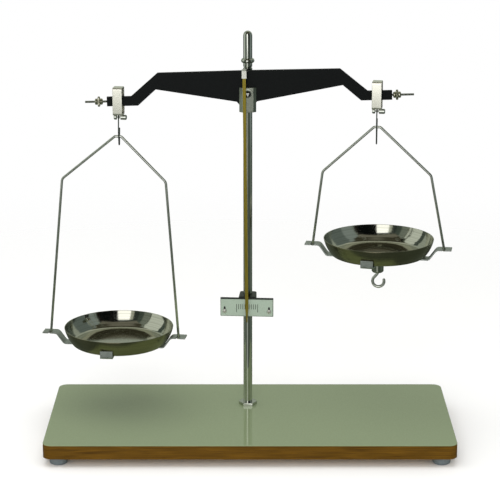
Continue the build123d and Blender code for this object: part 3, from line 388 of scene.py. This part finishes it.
def spun_steel(name, centre):
    """Stainless steel pressed and spun: polished inside, with fine rings round the dish's axis.

    The rings are noise along the distance from the axis, about 0.9 mm apart, coarser than the
    real polishing marks so that they show. The outside, which faces away from the axis or
    down, is left as drawn, so it is duller, and its browner, darker colour is a painted
    reflection of the brown table below.
    """
    ring_mm, smear_mm = 0.9, 28
    finish, tree, shader = new_finish(name)
    coordinates = add(tree, "ShaderNodeTexCoord")
    place, facing = coordinates.outputs["Object"], coordinates.outputs["Normal"]
    from_axis = add(tree, "ShaderNodeMapping", {
        "Vector": place, "Location": (-centre[0] * METRES, -centre[1] * METRES, 0),
        "Scale": (1, 1, 0),
    }).outputs["Vector"]
    distance = add(tree, "ShaderNodeVectorMath", {0: from_axis}, operation="LENGTH")
    rings = add(tree, "ShaderNodeTexNoise", {
        "W": distance.outputs["Value"], "Scale": 1000.0 / ring_mm, "Detail": 4.0,
    }, noise_dimensions="1D").outputs["Fac"]
    smears = add(tree, "ShaderNodeTexNoise", {"Vector": place, "Scale": 1000.0 / smear_mm,
                                              "Detail": 2.0})
    outward = add(tree, "ShaderNodeVectorMath", {0: from_axis, 1: (0, 0, -0.02)},
                  operation="ADD")
    facing_out = add(tree, "ShaderNodeVectorMath", {0: outward.outputs["Vector"], 1: facing},
                     operation="DOT_PRODUCT")
    outside = add(tree, "ShaderNodeMapRange", {
        "Value": facing_out.outputs["Value"], "From Min": 0.0, "From Max": 0.005,
    }).outputs["Result"]
    inner = add(tree, "ShaderNodeValToRGB", {"Fac": rings}, [(0.25, "#b7b7a9"), (0.75, "#d2d1c5")])
    # The outside's browner, darker colour is a painted reflection of the brown table below.
    outside_painted_reflection = add(tree, "ShaderNodeValToRGB", {"Fac": rings}, [(0.25, "#8b866c"), (0.75, "#9b967c")])
    colour = add(tree, "ShaderNodeMix", {
        "Factor": outside, 6: inner.outputs["Color"], 7: outside_painted_reflection.outputs["Color"],
    }, data_type="RGBA")
    gloss = add(tree, "ShaderNodeMapRange", {"Value": smears.outputs["Fac"], "From Min": 0.3,
                                             "From Max": 0.7, "To Min": 0.07, "To Max": 0.13})
    dull = add(tree, "ShaderNodeMath", {0: outside, 1: 0.14, 2: gloss.outputs["Result"]},
               operation="MULTIPLY_ADD")
    bump = add(tree, "ShaderNodeBump", {"Height": rings, "Distance": 0.006 * METRES,
                                        "Strength": 1.0})
    feed(tree, shader, {"Base Color": colour.outputs[2], "Metallic": 1.0,
                        "Roughness": dull.outputs["Value"], "Normal": bump.outputs["Normal"]})
    return finish


def wood_print(name):
    """Melamine edge band printed as walnut: streaks 1 to 2 mm high, long along the edge.

    The streaks are noise stretched nearly thirty times along the edge, with darker pores.
    """
    finish, tree, shader = new_finish(name)
    place = add(tree, "ShaderNodeTexCoord").outputs["Object"]
    parts = add(tree, "ShaderNodeSeparateXYZ", {"Vector": place})
    along = add(tree, "ShaderNodeMath", {0: parts.outputs["X"], 1: parts.outputs["Y"]},
                operation="ADD")
    streak_place = add(tree, "ShaderNodeCombineXYZ", {"X": along.outputs["Value"],
                                                      "Z": parts.outputs["Z"]})
    drawn = add(tree, "ShaderNodeMapping", {"Vector": streak_place.outputs["Vector"],
                                            "Scale": (25.0, 1.0, 700.0)})
    streaks = add(tree, "ShaderNodeTexNoise", {
        "Vector": drawn.outputs["Vector"], "Scale": 1.0, "Detail": 5.0, "Distortion": 0.6,
    }).outputs["Fac"]
    colour = add(tree, "ShaderNodeValToRGB", {"Fac": streaks},
                 [(0.25, "#402900"), (0.75, "#6b4a09"), (0.5, "#573b02")])
    bump = add(tree, "ShaderNodeBump", {"Height": streaks, "Distance": 0.06 * METRES,
                                        "Strength": 1.0})
    feed(tree, shader, {"Base Color": colour.outputs["Color"], "Roughness": 0.42,
                        "Specular IOR Level": 0.15, "Normal": bump.outputs["Normal"]})
    return finish


def chipboard(name):
    """Pressed wood chips, 2 to 4 mm across, seen only on the board's raw underside."""
    chip_mm = 3
    finish, tree, shader = new_finish(name)
    place = add(tree, "ShaderNodeTexCoord").outputs["Object"]
    chips = add(tree, "ShaderNodeTexVoronoi", {"Vector": place, "Scale": 1000.0 / chip_mm})
    colour = add(tree, "ShaderNodeValToRGB", {"Fac": chips.outputs["Color"]},
                 [(0.0, "#8d6c43"), (1.0, "#c9a877")])
    bump = add(tree, "ShaderNodeBump", {"Height": chips.outputs["Distance"],
                                        "Distance": 0.2 * METRES, "Strength": 0.6})
    feed(tree, shader, {"Base Color": colour.outputs["Color"], "Roughness": 0.85,
                        "Normal": bump.outputs["Normal"]})
    return finish


FINISHES = {
    # Chips pressed with glue: pale brown flakes, rough to the eye
    "board_core": chipboard("pressed_chipboard"),
    # Melamine pressed against a polished plate: grey-green, it mirrors what hangs over it
    "board_sheet": coated("glossy_melamine_sheet", "#778463", "#7f8c6b", 0.07, 0.015, 1.2),
    # Printed paper under melamine: brown streaks along the edge, a satin shine
    "board_edge": wood_print("walnut_print_edge_band"),
    # Rubber from a mould: blue-grey and dull, with a fine grain
    "foot_grey": coated("grey_moulded_rubber", "#5c6669", "#6a7477", 0.5, 0.06, 0.8, 0.02),
    # Zinc over turned steel: a soft grey shine
    "zinc_steel": plated_metal("zinc_plated_steel", "#94968c", "#adafa4", 0.3, 0.05, 2.0, 0.006),
    # Chrome over polished steel: a nearly perfect mirror
    "chromed": plated_metal("chrome_plate", "#c0c3ba", "#cdcfc7", 0.045, 0.015, 14.0),
    # Nickel over a casting left as cast: grey, with the grain of the casting under the shine
    "block_metal": plated_metal("nickel_plated_casting", "#8b9083", "#a3a89b", 0.33, 0.06,
                                1.4, 0.02),
    # Hard steel, ground: bright, with fine lines drawn out along Y
    "hard_steel": plated_metal("ground_hard_steel", "#b4b5b0", "#c6c7c2", 0.16, 0.04, 0.5,
                               0.003, stretch=(1, 0.1, 1)),
    # Powder baked onto aluminium: black, with hardly any shine
    "beam_black": coated("black_powder_coat", "#080a0a", "#0d1010", 0.5, 0.04, 0.9, 0.006,
                         ior=1.25),
    # Nickel over turned brass: a warm pale shine
    "brass": plated_metal("nickel_plated_brass", "#c6c3ae", "#dad7c4", 0.2, 0.05, 3.0),
    # Rolled brass left bare: dull yellow, streaked along its length
    "pointer_brass": plated_metal("tarnished_brass_strip", "#8d7e2c", "#ab9a42", 0.36, 0.06,
                                  2.5, 0.004, stretch=(1, 1, 0.06)),
    # Brushed and etched aluminium: pale, with light spread along the brushing
    "bracket_silver": plated_metal("satin_aluminium", "#d5d5cb", "#e3e3da", 0.3, 0.04, 1.6,
                                   stretch=(1, 1, 0.1), matt=0.2),
    # Satin nickel over bent strip: nearly white, faintly streaked upwards
    "stirrup_nickel": plated_metal("satin_nickel_plate", "#ebe9dc", "#f4f2e6", 0.26, 0.04, 6.0,
                                   stretch=(1, 1, 0.08), matt=0.08),
    # Bright zinc over drawn wire: smooth, so that it mirrors in a line along the wire
    "wire_steel": plated_metal("bright_zinc_plated_wire", "#c6c9c0", "#d6d9d0", 0.08, 0.015,
                               12.0, matt=0.04),
    # Zinc over a pressed strap: a grey shine, streaked along it
    "carrier_zinc": plated_metal("zinc_plated_strap", "#9aa09a", "#b1b6b0", 0.32, 0.06, 1.6,
                                 0.004, stretch=(0.2, 1, 1), matt=0.06),
    # Spun stainless steel: mirrors in rings inside, duller outside, where its brown-grey colour is
    # a painted reflection of the table
    "dish_steel": spun_steel("spun_stainless_steel", DISH_PLACE["left"]),
    # Turned aluminium: grey, with rings round the axis
    "boss_alu": plated_metal("turned_aluminium", "#a3a596", "#b7b9aa", 0.22, 0.05, 0.5, 0.004,
                             stretch=(0.02, 0.02, 1)),
    # Nylon from a mould: black with a soft shine
    "clip_black": coated("black_moulded_nylon", "#101510", "#1b211a", 0.42, 0.05, 0.6, 0.01),
    # Printed aluminium: pale green and matt
    "plate_pale": coated("pale_printed_aluminium", "#8f9f8e", "#9cab9a", 0.38, 0.04, 1.0,
                         0.003),
}
DISH_FINISH = {
    "left": FINISHES["dish_steel"],
    "right": spun_steel("spun_stainless_steel_right", DISH_PLACE["right"]),
}
# Spring wire as drawn, without plate: dark grey and dull
HOOK_WIRE = plated_metal("dull_spring_wire", "#5d665e", "#747d74", 0.35, 0.05, 3.0)
# Hard steel for the bearing rings, given a nearly black colour, with a shine
DARK_BEARING_STEEL = plated_metal("dark_bearing_steel", "#3a3e3a", "#4a4f49", 0.24, 0.04, 0.6)
# Printing ink: black and matt
MARKING = coated("black_printing_ink", "#0c0f0c", "#151915", 0.5, 0.04, 0.6)

OWN_FINISH = {"right_pan": DISH_FINISH["right"], "left_hook": HOOK_WIRE,
              "right_hook": HOOK_WIRE, "bearing_ring_front": DARK_BEARING_STEEL, "bearing_ring_rear": DARK_BEARING_STEEL}
for name, node in nodes.items():
    node.data.materials.clear()
    node.data.materials.append(OWN_FINISH.get(name, FINISHES[SLOT_OF[name]]))


# Making pieces

def placed(name, mesh, sharp, body, replaced=()):
    """A mesh as a piece of the balance, shaded smooth but for its sharp edges."""
    mesh.shade_smooth()
    mesh.set_sharp_from_angle(angle=radians(sharp))
    made = bpy.data.objects.new(name, mesh)
    bpy.context.scene.collection.objects.link(made)
    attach(made, body)
    if replaced:
        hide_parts(*replaced)
    return made


def closed_mesh(name, surface, finish):
    """A mesh from a surface in millimetres, its seams and poles closed, facing outwards."""
    points, faces = surface
    mesh = bpy.data.meshes.new(name)
    mesh.from_pydata((np.asarray(points, float).reshape(-1, 3) * METRES).tolist(), [],
                     [list(face) for face in faces])
    shape = bmesh.new()
    shape.from_mesh(mesh)
    bmesh.ops.remove_doubles(shape, verts=shape.verts, dist=1e-7)
    bmesh.ops.dissolve_degenerate(shape, edges=shape.edges, dist=1e-8)
    bmesh.ops.recalc_face_normals(shape, faces=shape.faces)
    shape.to_mesh(mesh)
    shape.free()
    mesh.materials.append(finish)
    return mesh


def worked(node, surface, sharp=35.0, finish=None):
    """A finer surface that stands for a node, with the node's own body and finish."""
    name = node + "_surface"
    mesh = closed_mesh(name, surface, finish or nodes[node].data.materials[0])
    return placed(name, mesh, sharp, BODY_OF[node], (node,))


def deburred(node, width):
    """A node's own form with its triangles merged and its hard edges broken by a width.

    The broken edges catch light as filed ones do.
    """
    name = node + "_finished"
    mesh = nodes[node].data.copy()
    mesh.name = name
    shape = bmesh.new()
    shape.from_mesh(mesh)
    bmesh.ops.remove_doubles(shape, verts=shape.verts, dist=2e-6)
    bmesh.ops.dissolve_limit(shape, angle_limit=radians(0.6), verts=shape.verts,
                             edges=shape.edges)
    shape.to_mesh(mesh)
    shape.free()
    made = placed(name, mesh, 35.0, BODY_OF[node], (node,))
    if width:
        bevel = made.modifiers.new("broken_edges", "BEVEL")
        bevel.width = width * METRES
        bevel.segments = 2
        bevel.limit_method = "ANGLE"
        bevel.angle_limit = radians(30.0)
        bevel.harden_normals = True
    return made


def lowered(made, level, share):
    """What stands above a level, in millimetres, brought down to a share of its height."""
    level *= METRES
    points = np.empty(len(made.data.vertices) * 3, np.float32)
    made.data.vertices.foreach_get("co", points)
    z = points[2::3]
    points[2::3] = np.where(z > level, level + (z - level) * share, z)
    made.data.vertices.foreach_set("co", points)
    made.data.update()


# Column and its knob

COLUMN_RADIUS = 5.0
COLUMN_FOOT = 2.6


def column_profile():
    """Radius and height up the column, with a chamfer at its foot."""
    chamfer = 0.8
    return [(0, COLUMN_FOOT), (COLUMN_RADIUS - chamfer, COLUMN_FOOT),
            (COLUMN_RADIUS, COLUMN_FOOT + chamfer), (COLUMN_RADIUS, 25.4), (COLUMN_RADIUS, 200),
            (COLUMN_RADIUS, COLUMN_TOP), (0, COLUMN_TOP)]


def knob_profile():
    """Radius and height up the knob: neck, waist, half-round bead, shaft and dome."""
    bead = arc((4.75, 8.2), 2.6, -90, 90, 17)
    dome = arc((0, 36.05), 4.95, 0, 90, 15)
    return np.vstack([
        [(0, 0), (4.25, 0), (4.25, 1.0), (4.95, 1.7), (4.95, 5.35), (4.9, 5.6)], bead,
        [(4.9, 10.8), (4.95, 11.05)], dome,
    ])


worked("column", laid(lathe(column_profile(), 128), (0, COLUMN_Y, 0)))
worked("column_knob", laid(lathe(knob_profile(), 128), (0, COLUMN_Y, COLUMN_TOP)), sharp=40)


# Feet

FOOT_X = {"left": -206.5, "right": 211.5}
FOOT_Y = {"front": -84.0, "rear": 84.0}


def foot_profile():
    """Radius and height round a foot's section, from the screw hole out, down and back in."""
    return np.vstack([
        [(1.8, 9.5), (10.1, 9.5)], arc((10.1, 9.1), 0.4, 80, 5, 5),
        arc((8.9, 1.1), 0.75, -5, -85, 7), [(8.7, 0), (5.3, 0)], arc((5.3, 0.3), 0.3, 250, 185, 4),
        [(5.0, 5.5), (1.8, 5.5)],
    ])


for side, x in FOOT_X.items():
    for end, y in FOOT_Y.items():
        worked(f"foot_{end}_{side}",
               laid(lathe(foot_profile(), 72, round_a_bore=True), (x, y, 0)))


# Dishes

DISH_RIM = np.array([61.4, 18.5])
DISH_SHEET = 0.8


def dish_profile():
    """Radius and height along the dish's underside, over its rolled rim and back inside.

    The wall's point(u) = foot (1 - u) + rim u + 3 u (1 - u) outward, for u from 0 to 1, and
    the inside is that line moved in by the sheet's thickness.
    """
    floor = rounded_path([(0, 0.8), (43.0, 0.8), (44.5, 0), (52.0, 0), (55.1, 4.2)],
                         [0.8, 0.8, 5.0], 12)
    u = np.linspace(0, 1, 14)[1:, None]
    outward = np.array([[0.89, -0.45]])
    wall_line = floor[-1] * (1 - u) + DISH_RIM * u + 3 * u * (1 - u) * outward
    under = np.vstack([floor[:-1], wall_line])
    along = tangents(under)
    inward = np.stack([-along[:, 1], along[:, 0]], 1)
    inside = under + DISH_SHEET * inward
    inside[0, 0] = 0
    t = np.linspace(0, pi, 9)[1:-1, None]
    rim = ((under[-1] + inside[-1]) / 2
           + DISH_SHEET / 2 * (-np.cos(t) * inward[-1] + np.sin(t) * along[-1]))
    return np.vstack([under, rim, inside[::-1]])


for side in SIDES:
    worked(f"{side}_pan", laid(lathe(dish_profile(), 192), DISH_PLACE[side]),
           finish=DISH_FINISH[side])


# Crossbars, S-hooks and bails, each in its own side's plane and from the place it hangs on

SEAT_DROP = {"left": 21.5, "right": 17.7}
HOOK_LENGTH = {"left": 31.5, "right": 37.2}
BAIL_RADIUS = 1.4
BAIL_HALF_SPAN = 73.5
BAIL_SHAPE = {
    "left": {"drop": 228.2, "shoulder_drop": 49.8, "shoulder_half": 58.5,
             "apex_shift": -1.2, "shoulder_shift": -7.0, "foot_shift": -9.5},
    "right": {"drop": 135.2, "shoulder_drop": 52.3, "shoulder_half": 60.2,
              "apex_shift": 0.6, "shoulder_shift": 0.8, "foot_shift": 3.9},
}


def crossbar_surface():
    """The bar under a stirrup: turned, with a waist for the hook, and a flat where it is held."""
    start, stop, flat_height = -5.25, 8.75, 2.6
    points, faces = swapped(lathe([
        (0, start), (2.15, start), (2.85, start + 0.7), (2.85, -2.45), (2.7, -2.3), (0.9, -1.8),
        (0.9, 1.8), (2.7, 2.3), (2.85, 2.45), (2.85, stop - 0.7), (2.15, stop), (0, stop),
    ], 64), ALONG_X)
    points[..., 2] = np.minimum(points[..., 2], flat_height)
    return points, faces


def s_hook_surface(length, seat_drop):
    """The S-hook's wire: an eye over the bar's neck, a long leg, a narrow V and a short tail."""
    wire_radius, eye, tip, clearance = 0.7, 1.75, 1.15, 0.08
    eye_drop, knee_rise, tail_rise, bend = 3.6, 5.6, 8.6, 3.0
    tip_centre = length - wire_radius - tip
    slant = asin((BAIL_RADIUS + wire_radius + clearance - tip) / (tip_centre - seat_drop))
    foot = (-tip * cos(slant), -tip_centre - tip * sin(slant))
    knee_z, tail_z = knee_rise - seat_drop, tail_rise - seat_drop
    knee = (foot[0] - (knee_z - foot[1]) * tan(slant), knee_z)
    tail = (-(foot[0] - (tail_z - foot[1]) * tan(slant)), tail_z)
    leg = rounded_path([(-eye, 0), (-eye, -eye_drop), knee, foot], [bend, bend], 10)
    path = np.vstack([
        arc((0, 0), eye, -55, 180, 26)[:-1], leg[:-1],
        arc((0, -tip_centre), tip, 180 + np.degrees(slant), 360 - np.degrees(slant), 14), [tail],
    ])
    return wire(upright(path, across=True), wire_radius, (1, 0, 0), 20, (True, True))


def bail_surface(drop, shoulder_drop, shoulder_half, apex_shift, shoulder_shift, foot_shift):
    """The bail's wire, bent at the apex and the shoulders, with an upset head on each foot."""
    head_centre, apex_half, apex_bend, shoulder_bend = 1.7, 3.5, 3.2, 7.0
    feet = (foot_shift - BAIL_HALF_SPAN, foot_shift + BAIL_HALF_SPAN)
    shoulders = (shoulder_shift - shoulder_half, shoulder_shift + shoulder_half)
    ends = [(foot + (foot - shoulder) / (drop - shoulder_drop) * head_centre,
             -drop - head_centre) for foot, shoulder in zip(feet, shoulders)]
    path = rounded_path([ends[0], (shoulders[0], -shoulder_drop), (apex_shift - apex_half, 0),
                         (apex_shift + apex_half, 0), (shoulders[1], -shoulder_drop), ends[1]],
                        [shoulder_bend, apex_bend, apex_bend, shoulder_bend], 14)
    head = lathe([(0, 0.65), (2.2, 0.65), (2.4, 0.45), (2.2, -0.35), (1.6, -0.65), (0, -0.65)], 28)
    return joined(wire(upright(path), BAIL_RADIUS, (0, 1, 0), 32),
                  *(laid(head, (x, 0, z)) for x, z in ends))


for side in SIDES:
    seat = SEAT_DROP[side]
    crossbar_place = hung(side, CROSSBAR_DROP)
    worked(f"{side}_crossbar", laid(crossbar_surface(), crossbar_place, TURN[side]))
    worked(f"{side}_hook", laid(s_hook_surface(HOOK_LENGTH[side], seat), crossbar_place,
                                TURN[side]), sharp=60)
    worked(f"{side}_bail", laid(bail_surface(**BAIL_SHAPE[side]),
                                hung(side, CROSSBAR_DROP + seat), TURN[side]), sharp=50)


# Body hook and its boss, from the underside of the right carrier's strap down

STRAP_UNDER_DISH = 3.0
UNDER_STRAP = hung("right", DISH_DROP["right"] + STRAP_UNDER_DISH,
                   BAIL_SHAPE["right"]["foot_shift"])


def boss_profile():
    """Radius and height down the boss, round its low edge and up into the hook's hole."""
    return [(0, 0), (6.75, 0), (6.75, -16.0), (6.65, -16.25), (5.35, -17.5), (5.1, -17.6),
            (1.72, -17.6), (1.72, -13.7), (0, -13.7)]


def body_hook_surface():
    """The body hook's wire: straight in the boss, then bent into an open round hook."""
    wire_radius, bend, start, stop = 1.65, 6.45, 140, 375
    shank_top, shank_bend = -13.6, 4.5
    centre = np.array((1.0, -28.0))
    meet = centre + bend * np.array((cos(radians(start)), sin(radians(start))))
    run = -meet[0] / sin(radians(start))
    corner = (0, meet[1] - run * cos(radians(start)))
    shank = rounded_path([(0, shank_top), corner, meet], [shank_bend], 16)
    path = np.vstack([shank[:-1], arc(centre, bend, start, stop, 64)])
    return wire(upright(path), wire_radius, (0, 1, 0), 32, (False, True))


worked("body_hook", laid(body_hook_surface(), UNDER_STRAP, TURN["right"]), sharp=60)
worked("hook_boss", laid(lathe(boss_profile(), 96), UNDER_STRAP))


# Balance screws and nuts, on one axis below the centre knife edge

SCREW_AXIS = -3.05
SCREW_LENGTH = 31.0
SCREW_SUNK = 7.0
NUT_GAP = {"left": 4.6, "right": 1.2}


def nut_surface():
    """The balance nut: a disc with a straight knurl of 36 teeth between two domed hubs."""
    width, teeth = 8.5, 36
    half = np.array([
        (1.3, 0), (2.3, 0), (2.9, 0.2), (3.3, 0.7), (3.5, 1.5), (3.3, 2.4), (3.0, 3.0),
        (3.0, 3.05), (5.0, 3.05), (5.2, 3.1), (5.6, 3.45), (5.6, 3.6),
    ])
    depth = np.array([0, 0, 0, 0, 0, 0, 0, 0, 0, 0.06, 0.14, 0.14])
    profile = np.vstack([half, np.stack([half[::-1, 0], width - half[::-1, 1]], 1)])
    ripple = np.concatenate([depth, depth[::-1]])
    profile[:, 0] -= ripple
    return lathe(profile, teeth * 8, ripple, teeth, round_a_bore=True)


for side in SIDES:
    for what, surface, along, sharp in (
        ("screw", threaded(radius=1.25, depth=0.16, pitch=0.7, length=SCREW_LENGTH),
         WING_END - SCREW_SUNK, 60),
        ("nut", nut_surface(), WING_END + NUT_GAP[side], 40),
    ):
        on_beam = swapped(surface, ALONG_X, (WING_SHIFT + WAY[side] * along, 0, SCREW_AXIS),
                          (WAY[side], 1, 1))
        worked(f"{side}_balance_{what}", laid(on_beam, PIVOT, tilt=BEAM_TILT), sharp)


# Scale: its screws and marks, from the plate's own middle, the column's axis and its low edge

SCALE_PLACE = (0, COLUMN_Y, 135.4)
SCALE_TURN = 4.0
PLATE_FRONT = -16.5
PLATE_TOP = 156.6


def screw_heads():
    """Two domed slotted heads on the plate's front, their slots a little off level."""
    height = 5.9
    cut = slotted_head(radius=2.3, rim=0.55, crown=0.85, slot_width=0.6, slot_floor=0.5)
    parts = []
    for x, slot_angle in ((-25.0, 20), (25.0, -35)):
        head = laid(cut, (0, 0, 0), slot_angle)
        shank = lathe([(0, 0), (1.1, 0), (1.1, 3.0), (0, 3.0)], 32)
        parts += [swapped(head, [0, 2, 1], (x, PLATE_FRONT, height), (1, -1, 1)),
                  swapped(shank, ALONG_Y, (x, PLATE_FRONT, height))]
    return joined(*parts)


def scale_marks():
    """Eleven upright marks, the middle and outer ones longer, and a thin printed border."""
    edge_x, inner_x, edge_low, inner_low, edge_high = 29.5, 29.1, 0.25, 0.6, 19.4
    spacing, half, shift = 2.38, 0.3, 0.3
    top, short, long = 14.2, 8.2, 4.7
    front, back = PLATE_FRONT - 0.03, PLATE_FRONT + 0.02
    outlines = [(-edge_x, -inner_x, edge_low, edge_high), (inner_x, edge_x, edge_low, edge_high),
                (-inner_x, inner_x, edge_low, inner_low)]
    for step in range(-5, 6):
        middle = shift + spacing * step
        outlines.append((middle - half, middle + half, short if step % 5 else long, top))
    return joined(*(bar(*outline, front, back) for outline in outlines))


worked("scale_screws", laid(screw_heads(), SCALE_PLACE, SCALE_TURN), 30,
       FINISHES["bracket_silver"])
placed("scale_marks", closed_mesh("scale_marks", laid(scale_marks(), SCALE_PLACE, SCALE_TURN),
                                  MARKING), 35.0, "scale")


# Flat-sided pieces, and how far their edges are broken

BROKEN_EDGE = {
    "base_laminate": 0.12, "edge_band": 0, "column_nut_upper": 0.25, "column_nut_lower": 0.25,
    "column_washer": 0.2, "bearing_block": 0.3, "bearing_ring_front": 0.15,
    "bearing_ring_rear": 0.15, "block_screw": 0.12, "beam": 0.3, "pointer_bracket": 0.3,
    "pointer_screw": 0.1, "pointer": 0.12, "scale_bracket": 0.25, "scale_plate": 0.08,
    "left_stirrup": 0.3, "right_stirrup": 0.3, "left_carrier": 0.25, "right_carrier": 0.25,
    "left_cross_arm": 0.25, "right_cross_arm": 0.25, "left_carrier_rivet": 0.1,
    "right_carrier_rivet": 0.1, "foot_screws": 0.1,
}
finished = {name: deburred(name, width) for name, width in BROKEN_EDGE.items()}
# The real clip's two lobes stand lower over the plate than the solid's
lowered(finished["scale_bracket"], PLATE_TOP, 0.3)


# Studio, in metres: camera, floor, lamps, and the cards that shiny metal mirrors

VIEWPOINT = (0.00245, -1.9894, 0.7596)
LOOKS_DOWN = 15.25
LENS_MM, SENSOR_MM = 134.4, 36.0
FLOOR_RADIUS, FLOOR_SIDES, FLOOR_LEVEL = 1.6, 96, -0.0002
CLEAR_FROM, CLEAR_AT = 0.35, 1.3


def set_camera():
    """The photograph's viewpoint: two metres off, fifteen degrees down, a long lens."""
    data = bpy.data.cameras.new("camera")
    data.lens = LENS_MM
    data.sensor_width = SENSOR_MM
    camera = bpy.data.objects.new("camera", data)
    camera.location = VIEWPOINT
    camera.rotation_euler = (radians(90 - LOOKS_DOWN), 0, 0)
    bpy.context.scene.collection.objects.link(camera)
    bpy.context.scene.camera = camera


def set_floor():
    """A pale floor that fades into the white background a metre out."""
    mesh = bpy.data.meshes.new("floor")
    rim = arc((0, 0), FLOOR_RADIUS, 0, 360 * (1 - 1 / FLOOR_SIDES), FLOOR_SIDES)
    rim = np.insert(rim, 2, FLOOR_LEVEL, axis=1)
    mesh.from_pydata(rim.tolist(), [], [list(range(FLOOR_SIDES))])
    floor = bpy.data.objects.new("floor", mesh)
    bpy.context.scene.collection.objects.link(floor)
    finish, tree, shader = new_finish("pale_floor")
    feed(tree, shader, {"Base Color": linear("#f4f4f2"), "Roughness": 0.9,
                        "Specular IOR Level": 0.1})
    place = add(tree, "ShaderNodeTexCoord").outputs["Object"]
    distance = add(tree, "ShaderNodeVectorMath", {0: place}, operation="LENGTH")
    fade = add(tree, "ShaderNodeMapRange", {"Value": distance.outputs["Value"],
                                            "From Min": CLEAR_FROM, "From Max": CLEAR_AT},
               interpolation_type="SMOOTHSTEP")
    clear = add(tree, "ShaderNodeBsdfTransparent")
    mixed = add(tree, "ShaderNodeMixShader", {0: fade.outputs["Result"],
                                              1: shader.outputs["BSDF"],
                                              2: clear.outputs["BSDF"]})
    feed(tree, tree.nodes["Material Output"], {"Surface": mixed.outputs["Shader"]})
    mesh.materials.append(finish)


def set_world():
    """White to the eye and in reflections, softer where it lights matt surfaces."""
    world = bpy.data.worlds.new("studio")
    bpy.context.scene.world = world
    world.use_nodes = True
    tree = world.node_tree
    paths = add(tree, "ShaderNodeLightPath").outputs
    mirrored = add(tree, "ShaderNodeMath", {0: paths["Is Camera Ray"], 1: paths["Is Glossy Ray"]},
                   operation="MAXIMUM")
    seen = add(tree, "ShaderNodeMath", {0: mirrored.outputs["Value"],
                                        1: paths["Is Transmission Ray"]}, operation="MAXIMUM")
    strength = add(tree, "ShaderNodeMapRange", {"Value": seen.outputs["Value"],
                                                "To Min": 0.72, "To Max": 1.0})
    feed(tree, tree.nodes["Background"], {"Color": (1, 1, 1, 1),
                                          "Strength": strength.outputs["Result"]})


def softbox(name, place, target, width, height, power):
    """A rectangular lamp at a place, pointed at a target."""
    data = bpy.data.lights.new(name, "AREA")
    data.shape = "RECTANGLE"
    data.size, data.size_y = width, height
    data.energy = power
    lamp = bpy.data.objects.new(name, data)
    lamp.location = place
    way = Vector(target) - Vector(place)
    lamp.rotation_euler = way.to_track_quat("-Z", "Y").to_euler()
    lamp.visible_glossy = False
    bpy.context.scene.collection.objects.link(lamp)


def card(name, corners, code, strength=1.0, gloss=0.0):
    """A plain glowing card of the studio, out of every view, that shiny metal mirrors."""
    mesh = bpy.data.meshes.new(name)
    mesh.from_pydata(corners, [], [(0, 1, 2, 3)])
    finish, tree, shader = new_finish(name)
    feed(tree, shader, {"Base Color": (0, 0, 0, 1), "Roughness": 0.08,
                        "Specular IOR Level": gloss, "Emission Color": linear(code),
                        "Emission Strength": strength})
    mesh.materials.append(finish)
    made = bpy.data.objects.new(name, mesh)
    made.visible_camera = False
    made.visible_diffuse = False
    made.visible_shadow = False
    bpy.context.scene.collection.objects.link(made)


WALL_LOW, WALL_HIGH, WINDOW_HIGH, CEILING, TABLE = -3.0, 3.8, 2.9, 3.7, 0.0006
WINDOW_Y, FRONT_Y, REAR_Y, SIDE_X, HALF_WIDTH = -3.3, -3.6, 2.3, 3.4, 3.6


def wall(name, start, stop, code, low=WALL_LOW, high=WALL_HIGH, strength=1.0):
    """An upright card between two places on the ground."""
    card(name, [(*start, low), (*stop, low), (*stop, high), (*start, high)], code, strength)


def level_card(name, half_width, front, back, height, code, gloss=0.0):
    """A level card, as far to the left as to the right."""
    card(name, [(-half_width, front, height), (half_width, front, height),
                (half_width, back, height), (-half_width, back, height)], code, gloss=gloss)


set_camera()
set_floor()
set_world()
softbox("window_softbox", place=(-0.25, -3.2, 1.5), target=(-0.15, 0, 0.6), width=1.9, height=2.4,
        power=56)
softbox("top_softbox", place=(-0.3, -0.3, 2.3), target=(0, 0, 0.1), width=2.6, height=1.8,
        power=26)

# In front, a bright window with its paler side, and the dark room round it
wall("window_card", (-1.55, WINDOW_Y), (0.2, WINDOW_Y), "#ffffff", high=WINDOW_HIGH, strength=1.8)
wall("window_side_card", (-2.1, WINDOW_Y), (-1.55, WINDOW_Y), "#b9bdb0", high=WINDOW_HIGH)
wall("dark_card", (0.2, WINDOW_Y), (SIDE_X, WINDOW_Y), "#0b0e0d")
wall("front_card", (-HALF_WIDTH, FRONT_Y), (HALF_WIDTH, FRONT_Y), "#343c38")
# On the left and the right, from the front to the rear
for name, x, front, back, code in (
    ("left_front_card", -SIDE_X, -3.7, -2.4, "#4a544d"),
    ("left_card", -SIDE_X, -2.4, -1.0, "#7c847a"),
    ("left_bright_card", -SIDE_X, -1.0, 1.4, "#d6ddd3"),
    ("left_rear_card", -SIDE_X, 1.4, 2.4, "#4c564f"),
    ("right_front_card", SIDE_X, -3.7, -2.5, "#1c1914"),
    ("right_card", SIDE_X, -2.5, -0.3, "#8b9694"),
    ("right_rear_card", SIDE_X, -0.3, 2.4, "#687370"),
):
    wall(name, (x, front), (x, back), code)
# Behind, dark up to the board and pale over it
wall("rear_low_card", (-3.5, REAR_Y), (3.5, REAR_Y), "#39413b", high=0.1)
wall("rear_card", (-3.5, REAR_Y), (3.5, REAR_Y), "#a4aca0", low=0.1)
# Above, and the table that the undersides mirror
level_card("ceiling_front_card", HALF_WIDTH, -3.7, -2.2, CEILING, "#78766a")
level_card("ceiling_middle_card", HALF_WIDTH, -2.2, 0.6, CEILING, "#444235")
level_card("ceiling_rear_card", HALF_WIDTH, 0.6, 2.4, CEILING, "#b9bdae")
level_card("table_card", 1.5, -2.6, 0.8, TABLE, "#4d564c", gloss=0.5)

bpy.context.scene.view_settings.view_transform = "Standard"
